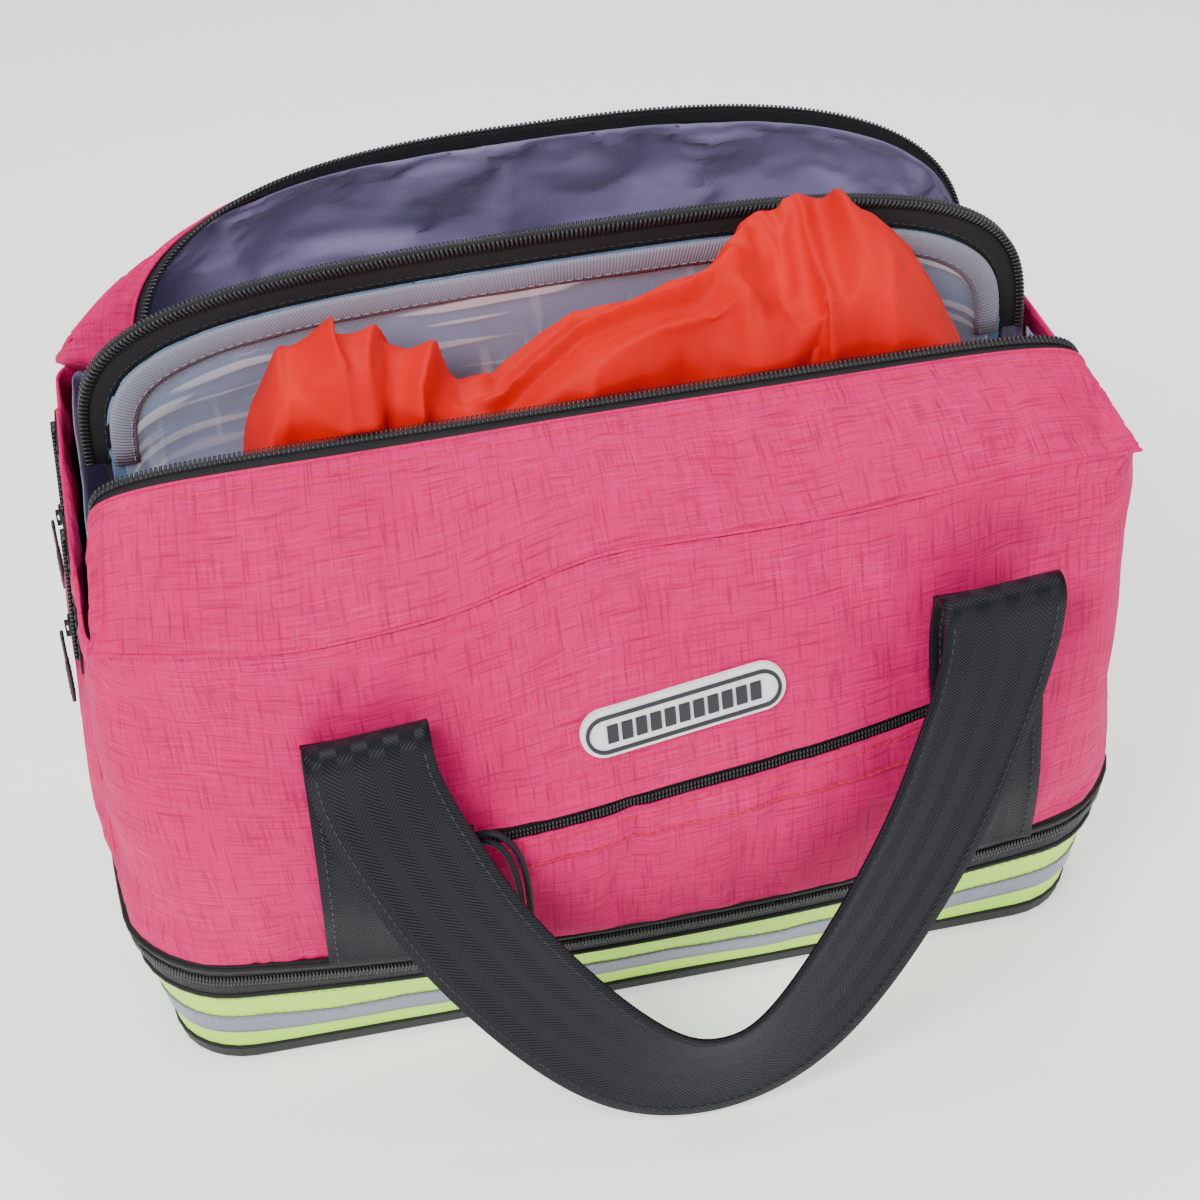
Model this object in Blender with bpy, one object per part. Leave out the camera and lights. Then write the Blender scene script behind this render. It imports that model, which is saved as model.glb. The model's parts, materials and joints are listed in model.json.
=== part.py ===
"""Emergency duffel bag with a stowed blanket: one named solid for each sewn or moulded piece."""

import bpy
import numpy as np

MM = 0.001

# Section of the bag: half length, half depth and corner radius of its outer face, by height.
LEVELS = np.array([0.0, 73.0, 246.0, 330.0]) * MM
HALF_LENGTH = np.array([204.0, 215.0, 214.0, 214.0]) * MM
HALF_DEPTH = np.array([92.0, 105.0, 107.0, 107.0]) * MM
CORNER = np.array([30.0, 34.0, 16.0, 16.0]) * MM

# The filled bag swells between its seams: outward push in the middle of a side, by height.
SWELL_AT = np.array([0.0, 40.0, 73.0, 110.0, 150.0, 190.0, 225.0, 246.0, 300.0]) * MM
SWELL = np.array([0.0, 14.0, 25.0, 29.0, 26.0, 17.5, 8.5, 4.0, 0.0]) * MM

# Boot compartment, from the table up.
BINDING_TOP = 5.0 * MM
HI_VIS_TOP = 50.0 * MM
STRIPE_LOW = 19.0 * MM
STRIPE_TOP = 32.0 * MM
ZIP_PARTING = 64.5 * MM
ZIP_CHAIN_HALF = 1.6 * MM
UPPER_START = 73.0 * MM

# Upper bag.
SEAM_Z = 246.0 * MM
FLOOR_Z = 75.0 * MM
CLOTH = 1.2 * MM
GAP = 0.4 * MM
END_SEAM_Y = 64.0 * MM
DIVIDER_Y = 17.0 * MM
POCKET_LEFT = -92.0 * MM
POCKET_RIGHT = 118.0 * MM
POCKET_TOP = 134.0 * MM

# Zip rims: reach along the bag, height at mid length, and where they end on the end faces.
FRONT_RIM = dict(reach=205 * MM, rise=37 * MM, power=8.0)
DIVIDER_RIM = dict(reach=206 * MM, rise=77 * MM, power=3.6)
REAR_RIM = dict(reach=200 * MM, rise=99 * MM, power=2.7)
RIM_FOOT = 246.8 * MM
TAPE = 14.0 * MM
CHAIN = 4.0 * MM

# Webbing handles.
WEB = 50.0 * MM
WEB_THICK = 2.0 * MM
STRAP_X = (-114.0 * MM, 143.0 * MM)
STRAP_TOP = (187.0 * MM, 208.0 * MM)
BEND_Z = 203.5 * MM
BEND_RADIUS = 9.0 * MM
BEND_OUT = 141.0 * MM
BEND_RISE = 21.0 / 257.0

CORD = 4.0 * MM

# Stowed blanket: half its length, the middle of its depth and half its depth.
BLANKET_HALF = 185.0 * MM
BLANKET_Y = -20.5 * MM
BLANKET_DEPTH = 28.0 * MM

PINK = (0.62, 0.012, 0.075)
BLACK = (0.012, 0.013, 0.018)
TAPE_BLACK = (0.008, 0.008, 0.011)
HI_VIS = (0.55, 0.92, 0.13)
SILVER = (0.20, 0.21, 0.27)
MAIN_GREY = (0.12, 0.19, 0.33)
REAR_GREY = (0.19, 0.18, 0.29)
BINDING_GREY = (0.16, 0.17, 0.21)
CLEAR = (0.75, 0.82, 0.88)
RED_CLOTH = (0.83, 0.013, 0.006)
WHITE = (0.82, 0.83, 0.85)
METAL = (0.03, 0.03, 0.035)

for obj in list(bpy.data.objects):
    bpy.data.objects.remove(obj, do_unlink=True)


# ---------------------------------------------------------------- helpers


def material(name, colour, roughness, metallic=0.0):
    """A plain material for one sub-part."""
    made = bpy.data.materials.new(name)
    made.use_nodes = True
    shader = made.node_tree.nodes["Principled BSDF"]
    shader.inputs["Base Color"].default_value = (*colour, 1.0)
    shader.inputs["Roughness"].default_value = roughness
    shader.inputs["Metallic"].default_value = metallic
    return made


def swell(points):
    """The same smooth outward push for every layer, so that nested layers never cross."""
    points = np.array(points, float)
    x, y, z = points.T
    along = np.clip(1 - (x / 0.222) ** 2, 0, 1) ** 0.9
    reach = np.clip(np.abs(y) / 0.1, 0, 1.2) ** 2
    points[:, 1] += np.sign(y) * along * reach * np.interp(z, SWELL_AT, SWELL)
    across = np.clip(1 - (y / 0.115) ** 2, 0, 1)
    reach = np.clip(np.abs(x) / 0.2, 0, 1.1) ** 4
    points[:, 0] += np.sign(x) * across * reach * 0.2 * np.interp(z, SWELL_AT, SWELL)
    return points


def add_mesh(name, points, faces, colour, roughness, metallic=0.0, axis=(0, 0, 0)):
    """One object from points and faces, with its origin on the axis that it moves about."""
    axis = np.array(axis, float)
    mesh = bpy.data.meshes.new(name)
    mesh.from_pydata([tuple(p) for p in np.array(points) - axis], [], faces)
    mesh.validate()
    mesh.materials.append(material(name, colour, roughness, metallic))
    made = bpy.data.objects.new(name, mesh)
    made.location = tuple(axis)
    bpy.context.scene.collection.objects.link(made)
    return made


def grid_solid(name, near, far, *look, loop=False, bend=True, axis=(0, 0, 0)):
    """A closed solid between two equal grids of points, `far` on the side that the normals point to."""
    near, far = np.array(near, float), np.array(far, float)
    rows, cols = near.shape[:2]
    points = np.concatenate([near.reshape(-1, 3), far.reshape(-1, 3)])
    points = swell(points) if bend else points
    half = rows * cols
    faces = []
    last = rows if loop else rows - 1
    for i in range(last):
        j = (i + 1) % rows
        for k in range(cols - 1):
            a, b, c, d = i * cols + k, j * cols + k, j * cols + k + 1, i * cols + k + 1
            faces += [(a, d, c, b), (a + half, b + half, c + half, d + half)]
        a, b = i * cols, j * cols
        faces.append((a, b, b + half, a + half))
        a, b = i * cols + cols - 1, j * cols + cols - 1
        faces.append((a, a + half, b + half, b))
    if not loop:
        for k in range(cols - 1):
            faces.append((k, k + half, k + 1 + half, k + 1))
            a = (rows - 1) * cols + k
            faces.append((a, a + 1, a + 1 + half, a + half))
    volume = signed_volume(points, faces)
    faces = faces if volume > 0 else [tuple(reversed(face)) for face in faces]
    return add_mesh(name, points, faces, *look, axis=axis)


def signed_volume(points, faces):
    """Six times the volume that the faces close: negative where they face inwards."""
    total = 0.0
    for face in faces:
        for k in range(1, len(face) - 1):
            total += np.dot(points[face[0]], np.cross(points[face[k]], points[face[k + 1]]))
    return total


def block(name, low, high, *look, axis=(0, 0, 0), bend=False):
    """A plain box."""
    low, high = np.array(low, float), np.array(high, float)
    ys = np.linspace(low[1], high[1], 3)
    zs = np.linspace(low[2], high[2], 3)
    near = [[(low[0], y, z) for z in zs] for y in ys]
    far = [[(high[0], y, z) for z in zs] for y in ys]
    return grid_solid(name, near, far, *look, bend=bend, axis=axis)


def section(z):
    """Half length, half depth and corner radius of the outer face at one height."""
    a, b, r = (np.interp(z, LEVELS, table) for table in (HALF_LENGTH, HALF_DEPTH, CORNER))
    return a, b, r


def u_path(z, out, y_stop, side, long_steps=11, arc_steps=4):
    """Points from the left end face, round the front (side -1) or rear (side 1), to the right end."""
    a, b, r = section(z)
    cx, cy = a - r, b - r
    points = [(-(a + out), y, z) for y in np.linspace(y_stop, side * cy, 3)[:-1]]
    for t in np.linspace(0, np.pi / 2, arc_steps):
        x = -cx - (r + out) * np.cos(t)
        points.append((x, side * (cy + (r + out) * np.sin(t)), z))
    points += [(x, side * (b + out), z) for x in np.linspace(-cx, cx, long_steps)[1:-1]]
    for t in np.linspace(np.pi / 2, 0, arc_steps):
        x = cx + (r + out) * np.cos(t)
        points.append((x, side * (cy + (r + out) * np.sin(t)), z))
    points += [(a + out, y, z) for y in np.linspace(side * cy, y_stop, 3)[1:]]
    return points


def full_path(z, out, long_steps=11, arc_steps=4):
    """The whole outline at one height, as a loop."""
    front = u_path(z, out, 0.0, -1, long_steps, arc_steps)
    rear = u_path(z, out, 0.0, 1, long_steps, arc_steps)
    return front + list(reversed(rear))[1:-1]


def wall(name, levels, out_far, out_near, y_stop, side, *look, **options):
    """A sheet that follows the section round one long side."""
    far = np.array([u_path(z, out_far, y_stop, side) for z in levels]).transpose(1, 0, 2)
    near = np.array([u_path(z, out_near, y_stop, side) for z in levels]).transpose(1, 0, 2)
    return grid_solid(name, near, far, *look, **options)


def ring(name, levels, out_far, out_near, *look):
    """A sheet that follows the section all the way round."""
    far = np.array([full_path(z, out_far) for z in levels]).transpose(1, 0, 2)
    near = np.array([full_path(z, out_near) for z in levels]).transpose(1, 0, 2)
    return grid_solid(name, near, far, *look, loop=True)


def plate(name, low, high, out, *look):
    """A flat sheet that fills the section between two heights."""
    bottom = np.array(full_path(low, out))
    top = bottom.copy()
    top[:, 2] = high
    count = len(bottom)
    points = swell(np.concatenate([bottom, top]))
    faces = [tuple(reversed(range(count))), tuple(range(count, 2 * count))]
    for i in range(count):
        j = (i + 1) % count
        faces.append((i, j, j + count, i + count))
    faces = faces if signed_volume(points, faces) > 0 else [tuple(reversed(f)) for f in faces]
    return add_mesh(name, points, faces, *look)


def patch(name, x0, x1, z0, z1, side, out_near, out_far, *look, steps=(7, 6), slope=0.0):
    """A flat-pattern piece sewn on the front or rear: `slope` lifts its top edge towards +X."""
    near, far = [], []
    for x in np.linspace(x0, x1, steps[0]):
        zs = np.linspace(z0, z1 + slope * (x - x0), steps[1])
        _, b, _ = section(zs)
        near.append([(x, side * (y + out_near), z) for y, z in zip(b, zs)])
        far.append([(x, side * (y + out_far), z) for y, z in zip(b, zs)])
    return grid_solid(name, near, far, *look)


def spread(count):
    """Steps from -1 to 1 that crowd towards both ends."""
    t = np.linspace(-1, 1, count)
    return np.sign(t) * (1 - (1 - np.abs(t)) ** 2.2)


def arch(u, power):
    """Height share of a rim at a share u of its reach."""
    return np.clip(1 - np.abs(u) ** power, 0, 1) ** (1 / power)


def sheet(name, surface, us, vs, near, far, *look, **options):
    """A sheet of even thickness on a surface(u, v), between two distances from it along its normal."""
    points = np.array([[surface(u, v) for v in vs] for u in us])
    along_u = np.gradient(points, axis=0)
    along_v = np.gradient(points, axis=1)
    normal = np.cross(along_u, along_v)
    normal /= np.linalg.norm(normal, axis=2, keepdims=True)
    return grid_solid(name, points + near * normal, points + far * normal, *look, **options)


def tube(name, route, radius, *look, sides=8, axis=(0, 0, 0)):
    """A cord along a route of points, with flat ends."""
    route = np.array(route, float)
    tangent = np.gradient(route, axis=0)
    tangent /= np.linalg.norm(tangent, axis=1, keepdims=True)
    side = np.cross(tangent, np.array([1.0, 0.02, 0.01]))
    side /= np.linalg.norm(side, axis=1, keepdims=True)
    other = np.cross(tangent, side)
    rings = []
    for p, s, o in zip(route, side, other):
        angles = np.linspace(0, 2 * np.pi, sides, endpoint=False)
        rings.append([p + radius * (np.cos(t) * s + np.sin(t) * o) for t in angles])
    points = np.array(rings).reshape(-1, 3)
    faces = [tuple(range(sides)), tuple(reversed(range(len(points) - sides, len(points))))]
    for i in range(len(route) - 1):
        for k in range(sides):
            m = (k + 1) % sides
            a, b = i * sides + k, i * sides + m
            faces.append((a, a + sides, b + sides, b))
    faces = faces if signed_volume(points, faces) > 0 else [tuple(reversed(f)) for f in faces]
    return add_mesh(name, points, faces, *look, axis=axis)


# ---------------------------------------------------------------- boot compartment


def make_tray():
    """The zip-off bottom compartment, which the bag stands on."""
    plate("base_panel", 0.0, 1.6 * MM, -1.8 * MM, BLACK, 0.8)
    plate("base_board", 2.0 * MM, 4.2 * MM, -2.4 * MM, TAPE_BLACK, 0.7)
    levels = np.array([0.0, 20.0, 40.0, 62.0]) * MM
    ring("tray_wall", levels, -0.5 * MM, -1.6 * MM, BLACK, 0.8)
    levels = np.linspace(0.3 * MM, BINDING_TOP, 2)
    ring("base_binding", levels, 1.6 * MM, 0.2 * MM, BLACK, 0.75)
    levels = np.linspace(BINDING_TOP + GAP, HI_VIS_TOP, 4)
    ring("hi_vis_tape", levels, 0.8 * MM, 0.0, HI_VIS, 0.55)
    levels = np.linspace(STRIPE_LOW, STRIPE_TOP, 2)
    ring("reflective_stripe", levels, 1.5 * MM, 1.1 * MM, SILVER, 0.35)
    levels = np.linspace(HI_VIS_TOP + GAP, ZIP_PARTING - ZIP_CHAIN_HALF - GAP, 2)
    wall("base_zip_tape_lower", levels, 0.9 * MM, 0.1 * MM, END_SEAM_Y, -1, TAPE_BLACK, 0.7)
    levels = np.linspace(ZIP_PARTING - ZIP_CHAIN_HALF, ZIP_PARTING - 0.2 * MM, 2)
    wall("base_zip_chain_lower", levels, 1.4 * MM, -1.4 * MM, END_SEAM_Y, -1, TAPE_BLACK, 0.45)
    levels = np.linspace(HI_VIS_TOP + GAP, ZIP_PARTING + 7.0 * MM, 3)
    wall("hinge_strip", levels, 1.2 * MM, 0.2 * MM, END_SEAM_Y + 1.5 * MM, 1, BLACK, 0.8)


# ---------------------------------------------------------------- upper bag


def make_walls():
    """The four outer panels, the floor and the upper half of the base zip."""
    plate("bag_floor", FLOOR_Z - 1.0 * MM, FLOOR_Z + 1.5 * MM, -3.4 * MM, MAIN_GREY, 0.8)
    levels = np.array([73.0, 92, 118, 148, 176, 204, 228, 245.8]) * MM
    wall("front_panel", levels, 0.0, -CLOTH, -END_SEAM_Y, -1, PINK, 0.85)
    wall("rear_panel", levels, 0.0, -CLOTH, END_SEAM_Y + 1.5 * MM, 1, PINK, 0.85)
    for name, side in (("left_end_panel", -1), ("right_end_panel", 1)):
        near, far = [], []
        for y in np.linspace(-END_SEAM_Y + GAP, END_SEAM_Y + 1.0 * MM, 7):
            length, _, _ = section(levels)
            near.append([(side * (a - CLOTH), y, z) for a, z in zip(length, levels)])
            far.append([(side * a, y, z) for a, z in zip(length, levels)])
        grid_solid(name, near, far, PINK, 0.85)
    levels = np.linspace(ZIP_PARTING + ZIP_CHAIN_HALF + GAP, UPPER_START - GAP, 2)
    wall("base_zip_tape_upper", levels, 0.9 * MM, 0.0, END_SEAM_Y, -1, TAPE_BLACK, 0.7)
    levels = np.linspace(ZIP_PARTING + 0.2 * MM, ZIP_PARTING + ZIP_CHAIN_HALF, 2)
    wall("base_zip_chain_upper", levels, 1.4 * MM, -1.4 * MM, END_SEAM_Y, -1, TAPE_BLACK, 0.45)


def make_linings():
    """The two linings, and the layers of the divider between them."""
    levels = np.array([77.0, 92, 118, 148, 176, 204, 228, 244.0]) * MM
    stop = DIVIDER_Y - 2.6 * MM
    wall("main_lining", levels, -1.8 * MM, -2.6 * MM, stop, -1, MAIN_GREY, 0.7)
    stop = DIVIDER_Y + 2.6 * MM
    wall("rear_lining", levels, -1.8 * MM, -2.6 * MM, stop, 1, REAR_GREY, 0.7)

    def divider(u, v):
        top = RIM_FOOT + (DIVIDER_RIM["rise"] - 9 * MM) * arch(u, DIVIDER_RIM["power"])
        low = FLOOR_Z + 2.5 * MM
        return ((DIVIDER_RIM["reach"] - 9 * MM) * u, DIVIDER_Y, low + v * (top - low))

    us, vs = spread(19), np.linspace(0, 1, 4)
    sheet("divider_front_lining", divider, us, vs, 2.0 * MM, 1.2 * MM, MAIN_GREY, 0.7, bend=False)
    sheet("divider_core", divider, us, vs, 0.8 * MM, -0.8 * MM, BLACK, 0.8, bend=False)
    sheet("divider_rear_lining", divider, us, vs, -2.0 * MM, -1.2 * MM, REAR_GREY, 0.7, bend=False)

    def rim(u, w):
        height = RIM_FOOT + (DIVIDER_RIM["rise"] - w) * arch(u, DIVIDER_RIM["power"])
        return ((DIVIDER_RIM["reach"] - w) * u, DIVIDER_Y, height)

    us = spread(23)
    for side, name in ((1, "front"), (-1, "rear")):
        vs = np.linspace(TAPE, CHAIN + GAP, 2)
        near, far = side * 2.4 * MM, side * 3.2 * MM
        sheet(f"divider_zip_tape_{name}", rim, us, vs, near, far, TAPE_BLACK, 0.7, bend=False)
        vs = np.linspace(CHAIN, 0, 2)
        near, far = side * 1.4 * MM, side * 4.0 * MM
        sheet(f"divider_zip_chain_{name}", rim, us, vs, near, far, TAPE_BLACK, 0.45, bend=False)

    vs = np.linspace(TAPE + 9 * MM, TAPE + 1 * MM, 2)
    near, far = 2.4 * MM, 3.6 * MM
    sheet("clear_pocket_binding", rim, us, vs, near, far, BINDING_GREY, 0.7, bend=False)

    def clear(u, v):
        w = TAPE + 9.5 * MM
        top = RIM_FOOT + (DIVIDER_RIM["rise"] - w) * arch(u, DIVIDER_RIM["power"])
        return ((DIVIDER_RIM["reach"] - w) * u, DIVIDER_Y, 0.13 + v * (top - 0.13))

    us, vs = spread(19), np.linspace(0, 1, 3)
    sheet("clear_pocket_sheet", clear, us, vs, 5.0 * MM, 4.5 * MM, CLEAR, 0.1, bend=False)


def front_flap_surface(u, v):
    """Top of the front half, from its seam (v 0) to its zip rim (v 1)."""
    reach = 213 * MM + (FRONT_RIM["reach"] - 213 * MM) * v
    y = -107 * MM - 4 * MM * np.clip(1 - u * u, 0, 1) * (1 - v) + 54 * MM * v
    rise = FRONT_RIM["rise"] * v**0.85
    return (reach * u, y, RIM_FOOT + rise * arch(u, FRONT_RIM["power"]))


def rear_flap_surface(u, v):
    """Top of the rear half, from its seam (v 0) to its zip rim (v 1)."""
    slack = 13 * v if u > 0 else 40 * v**2
    power = REAR_RIM["power"] + (0 if u > 0 else 2.6 * (1 - v))
    reach = (213 - slack) * MM
    bow = (10 * MM * np.sin(np.pi * v) + 4 * MM * (1 - v)) * np.clip(1 - u * u, 0, 1)
    y = 107 * MM + bow - 30 * MM * v**1.4
    rise = REAR_RIM["rise"] * v
    return (reach * u, y, RIM_FOOT + rise * arch(u, power))


def make_flap(name, surface, width, turn, lining, axis):
    """One hinged top panel with its lining, zip tape and chain."""
    us = spread(23)
    edge = 1 - (TAPE - 3 * MM) / width
    look = dict(bend=False, axis=axis)
    vs = np.linspace(0.0, edge, 6)
    sheet(f"{name}_flap_panel", surface, us, vs, 0.0, turn * CLOTH, PINK, 0.85, **look)
    vs = np.linspace(0.04, edge - 8 * MM / width, 5)
    far = -turn * 2.0 * MM
    sheet(f"{name}_flap_lining", surface, us, vs, far, -turn * 1.2 * MM, lining, 0.7, **look)
    far = -turn * 1.8 * MM
    vs = np.linspace(edge - 4.5 * MM / width, 1 - (CHAIN + 2 * GAP) / width, 3)
    sheet(f"{name}_zip_tape", surface, us, vs, far, -turn * 1.0 * MM, TAPE_BLACK, 0.7, **look)
    vs = np.linspace(1 - CHAIN / width, 1, 2)
    far = -turn * 2.0 * MM
    sheet(f"{name}_zip_chain", surface, us, vs, far, turn * 0.6 * MM, TAPE_BLACK, 0.45, **look)


# ---------------------------------------------------------------- front and rear fittings


def make_pocket():
    """The zipped front pocket between the straps."""
    left, right, top = POCKET_LEFT + 4 * MM, POCKET_RIGHT - 4 * MM, POCKET_TOP
    slope = 22 * MM / (right - left)
    look = (PINK, 0.85)
    patch("pocket_panel", left, right, 76 * MM, top, -1, 2.9 * MM, 4.1 * MM, *look, slope=slope)
    for name, low, high, near, far, gloss in (
        ("pocket_zip_tape", 0.6, 6.5, 0.5, 1.3, 0.7),
        ("pocket_zip_chain", 6.9, 10.9, 0.5, 2.6, 0.45),
        ("pocket_lip", 11.3, 22.0, 0.5, 1.7, 0.85),
    ):
        near_row, far_row = [], []
        for x in np.linspace(left, right, 9):
            foot = top + slope * (x - left)
            zs = np.linspace(foot + low * MM, foot + high * MM, 3)
            _, b, _ = section(zs)
            near_row.append([(x, -(y + near * MM), z) for y, z in zip(b, zs)])
            far_row.append([(x, -(y + far * MM), z) for y, z in zip(b, zs)])
        grid_solid(name, near_row, far_row, PINK if name == "pocket_lip" else TAPE_BLACK, gloss)


def stadium(width, height, steps=10):
    """Outline of a bar with round ends, counted round from its right end."""
    r = height / 2
    points = []
    for start, cx in ((-np.pi / 2, width / 2 - r), (np.pi / 2, r - width / 2)):
        for t in np.linspace(start, start + np.pi, steps):
            points.append((cx + r * np.cos(t), r * np.sin(t)))
    return np.array(points)


def make_badge():
    """The moulded badge: a pale plate and the dark raised line inside its edge."""
    tilt = np.radians(7.0)

    def placed(outline, out):
        x = outline[:, 0] * np.cos(tilt) - outline[:, 1] * np.sin(tilt) + 14 * MM
        z = outline[:, 0] * np.sin(tilt) + outline[:, 1] * np.cos(tilt) + 182 * MM
        _, b, _ = section(z)
        return swell(np.stack([x, -(b + out), z], axis=1))

    back = placed(stadium(86 * MM, 20 * MM), 0.6 * MM)
    front = placed(stadium(86 * MM, 20 * MM), 2.8 * MM)
    count = len(back)
    points = np.concatenate([back, front])
    faces = [tuple(reversed(range(count))), tuple(range(count, 2 * count))]
    faces += [(i, (i + 1) % count, (i + 1) % count + count, i + count) for i in range(count)]
    faces = faces if signed_volume(points, faces) > 0 else [tuple(reversed(f)) for f in faces]
    add_mesh("badge_plate", points, faces, WHITE, 0.5)
    rows = []
    for grow, out in ((0.0, 3.1), (0.0, 3.8), (-1.6, 3.8), (-1.6, 3.1)):
        rows.append(placed(stadium((82 + grow * 2) * MM, (16 + grow * 2) * MM), out * MM))
    points = np.concatenate(rows)
    faces = []
    for k in range(4):
        for i in range(count):
            j = (i + 1) % count
            a, b = k * count, ((k + 1) % 4) * count
            faces.append((a + i, a + j, b + j, b + i))
    faces = faces if signed_volume(points, faces) > 0 else [tuple(reversed(f)) for f in faces]
    add_mesh("badge_border", points, faces, METAL, 0.5)


def strap_face(x, z, side, out):
    """Distance from the middle of the bag to a layer on its swollen face."""
    _, b, _ = section(z)
    return abs(swell(np.array([[x, side * (b + out), z]]))[0, 1])


def smooth_route(knots, steps):
    """A smooth curve through the knots, with the same number of steps between each two."""
    knots = np.array(knots, float)
    ends = np.concatenate([[2 * knots[0] - knots[1]], knots, [2 * knots[-1] - knots[-2]]])
    points = []
    for k in range(1, len(ends) - 2):
        p, q, r, s = ends[k - 1 : k + 3]
        for t in np.linspace(0, 1, steps, endpoint=False):
            bend = (2 * p - 5 * q + 4 * r - s) * t + (3 * q - p - 3 * r + s) * t * t
            points.append(0.5 * (2 * q + (r - p) * t + bend * t))
    return np.array(points + [knots[-1]])


def make_handle(name, side):
    """A webbing loop, rolled over a bend at the head of each strap and hanging to the table."""
    middle = (STRAP_X[0] + STRAP_X[1]) / 2
    half = (STRAP_X[1] - STRAP_X[0]) / 2
    axis_y = side * BEND_OUT
    roll = np.linspace(np.radians(10), np.radians(172), 8)
    left = [(-half, axis_y - side * BEND_RADIUS * np.cos(t), BEND_RADIUS * np.sin(t)) for t in roll]
    left = np.array(left) + (0, 0, BEND_Z)
    knots = [(-128.5, 150, 203.5), (-126, 152, 186), (-116, 158, 158), (-95, 167, 113)]
    knots += [(-62, 177, 65), (-31, 184, 36), (0, 187, 28)]
    knots += [(-x, y, z) for x, y, z in knots[-2::-1]]
    loop = smooth_route(np.array(knots) * (1, side, 1) * MM, 3)
    centre = np.concatenate([left, loop, left[::-1] * (-1, 1, 1)])
    tangent = np.gradient(centre, axis=0)
    tangent /= np.linalg.norm(tangent, axis=1, keepdims=True)
    width = side * np.cross(tangent, (0, -0.98 * side, 0.2))
    width[: len(left)] = (-1, 0, 0)
    width[-len(left) :] = (1, 0, 0)
    width /= np.linalg.norm(width, axis=1, keepdims=True)
    normal = np.cross(tangent, width)
    normal /= np.linalg.norm(normal, axis=1, keepdims=True)
    steps = np.linspace(-WEB / 2, WEB / 2, 3)
    near = np.array([centre + s * width - normal * WEB_THICK / 2 for s in steps])
    far = np.array([centre + s * width + normal * WEB_THICK / 2 for s in steps])
    for rows in (near, far):
        rows[:, :, 2] += BEND_RISE * rows[:, :, 0]
        rows[:, :, 0] += middle
    axis = (middle, axis_y, BEND_Z)
    grid_solid(name, near, far, BLACK, 0.6, bend=False, axis=axis)


def make_straps():
    """The two straps sewn to each long side, from the base zip to the handle's bend."""
    for face, side in (("front", -1), ("rear", 1)):
        for hand, x, top in zip(("left", "right"), STRAP_X, STRAP_TOP):
            name = f"{face}_strap_{hand}"
            low, high = (x - WEB / 2), (x + WEB / 2)
            look = (BLACK, 0.6)
            patch(name, low, high, 74 * MM, top, side, 2.2 * MM, 4.2 * MM, *look, steps=(4, 9))


# ---------------------------------------------------------------- zip sliders and pulls


def make_slider(name, centre, size):
    """A zip slider as a small block, with its origin where it starts."""
    centre, size = np.array(centre), np.array(size)
    return block(name, centre - size / 2, centre + size / 2, METAL, 0.35, 0.8, axis=centre)


def make_tails():
    """The closed ends of the two long zips, which run down the left end face."""
    for name, y in (("main_zip_tail", -34 * MM), ("rear_zip_tail", 52 * MM)):
        zs = np.linspace(186 * MM, 245.5 * MM, 5)
        length, _, _ = section(zs)
        near = [[(-(a + 0.5 * MM), q, z) for a, z in zip(length, zs)] for q in (y - 14 * MM, y, y + 14 * MM)]
        far = [[(-(a + 1.4 * MM), q, z) for a, z in zip(length, zs)] for q in (y - 14 * MM, y, y + 14 * MM)]
        grid_solid(name, near, far, TAPE_BLACK, 0.6)
        face = swell(np.array([[-0.214, y, 0.2]]))[0, 0]
        slide = name.replace("_zip_tail", "_slider")
        make_slider(slide, (face - 4.4 * MM, y, 200 * MM), (4.0 * MM, 8.0 * MM, 10.0 * MM))
        pull = name.replace("_zip_tail", "_pull")
        low = (face - 9.2 * MM, y - 3 * MM, 164 * MM)
        high = (face - 7.4 * MM, y + 3 * MM, 199 * MM)
        block(pull, low, high, TAPE_BLACK, 0.5, axis=(face - 8.3 * MM, y, 198 * MM))


def make_pulls():
    """The pocket's and the base zip's sliders, with their pulls."""
    x, z = -80 * MM, 143.9 * MM
    face = -strap_face(x, z, -1, 5.2 * MM)
    make_slider("pocket_slider", (x, face - 1.8 * MM, z), (10.0 * MM, 3.2 * MM, 7.0 * MM))
    eye = (x + 1.0 * MM, face - 6.2 * MM, z)
    route = [
        (-79.0, -6.6, 143.6), (-74.0, -8.5, 146.5), (-68.0, -10.5, 146.0), (-63.0, -12.0, 140.5),
        (-60.0, -12.5, 131.0), (-58.5, -12.0, 119.0), (-58.0, -11.5, 106.0), (-58.0, -11.0, 95.0),
        (-58.0, -11.0, 88.5),
    ]
    path = [(px * MM, face + py * MM, pz * MM) for px, py, pz in route]
    fine = np.array(path)
    steps = np.linspace(0, len(fine) - 1, 17)
    fine = np.stack([np.interp(steps, range(len(path)), fine[:, k]) for k in range(3)], axis=1)
    tube("pocket_pull_cord", fine, CORD / 2 * 1.6, TAPE_BLACK, 0.8, axis=eye)
    end = np.array([-58.0 * MM, face - 11.0 * MM, 77.5 * MM])
    half = np.array([7.0, 4.5, 10.0]) * MM
    block("pocket_pull_end", end - half, end + half, METAL, 0.4, axis=eye)
    face = swell(np.array([[0.2139, 0.04, ZIP_PARTING]]))[0, 0]
    size = (4.0 * MM, 10.0 * MM, 8.0 * MM)
    make_slider("base_slider", (face + 5.0 * MM, 62 * MM, ZIP_PARTING), size)
    low = (face + 8.2 * MM, 58 * MM, 34 * MM)
    high = (face + 10.0 * MM, 64 * MM, ZIP_PARTING - 1.0 * MM)
    block("base_pull", low, high, TAPE_BLACK, 0.5, axis=(face + 9.1 * MM, 61 * MM, 62 * MM))


# ---------------------------------------------------------------- blanket


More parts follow.
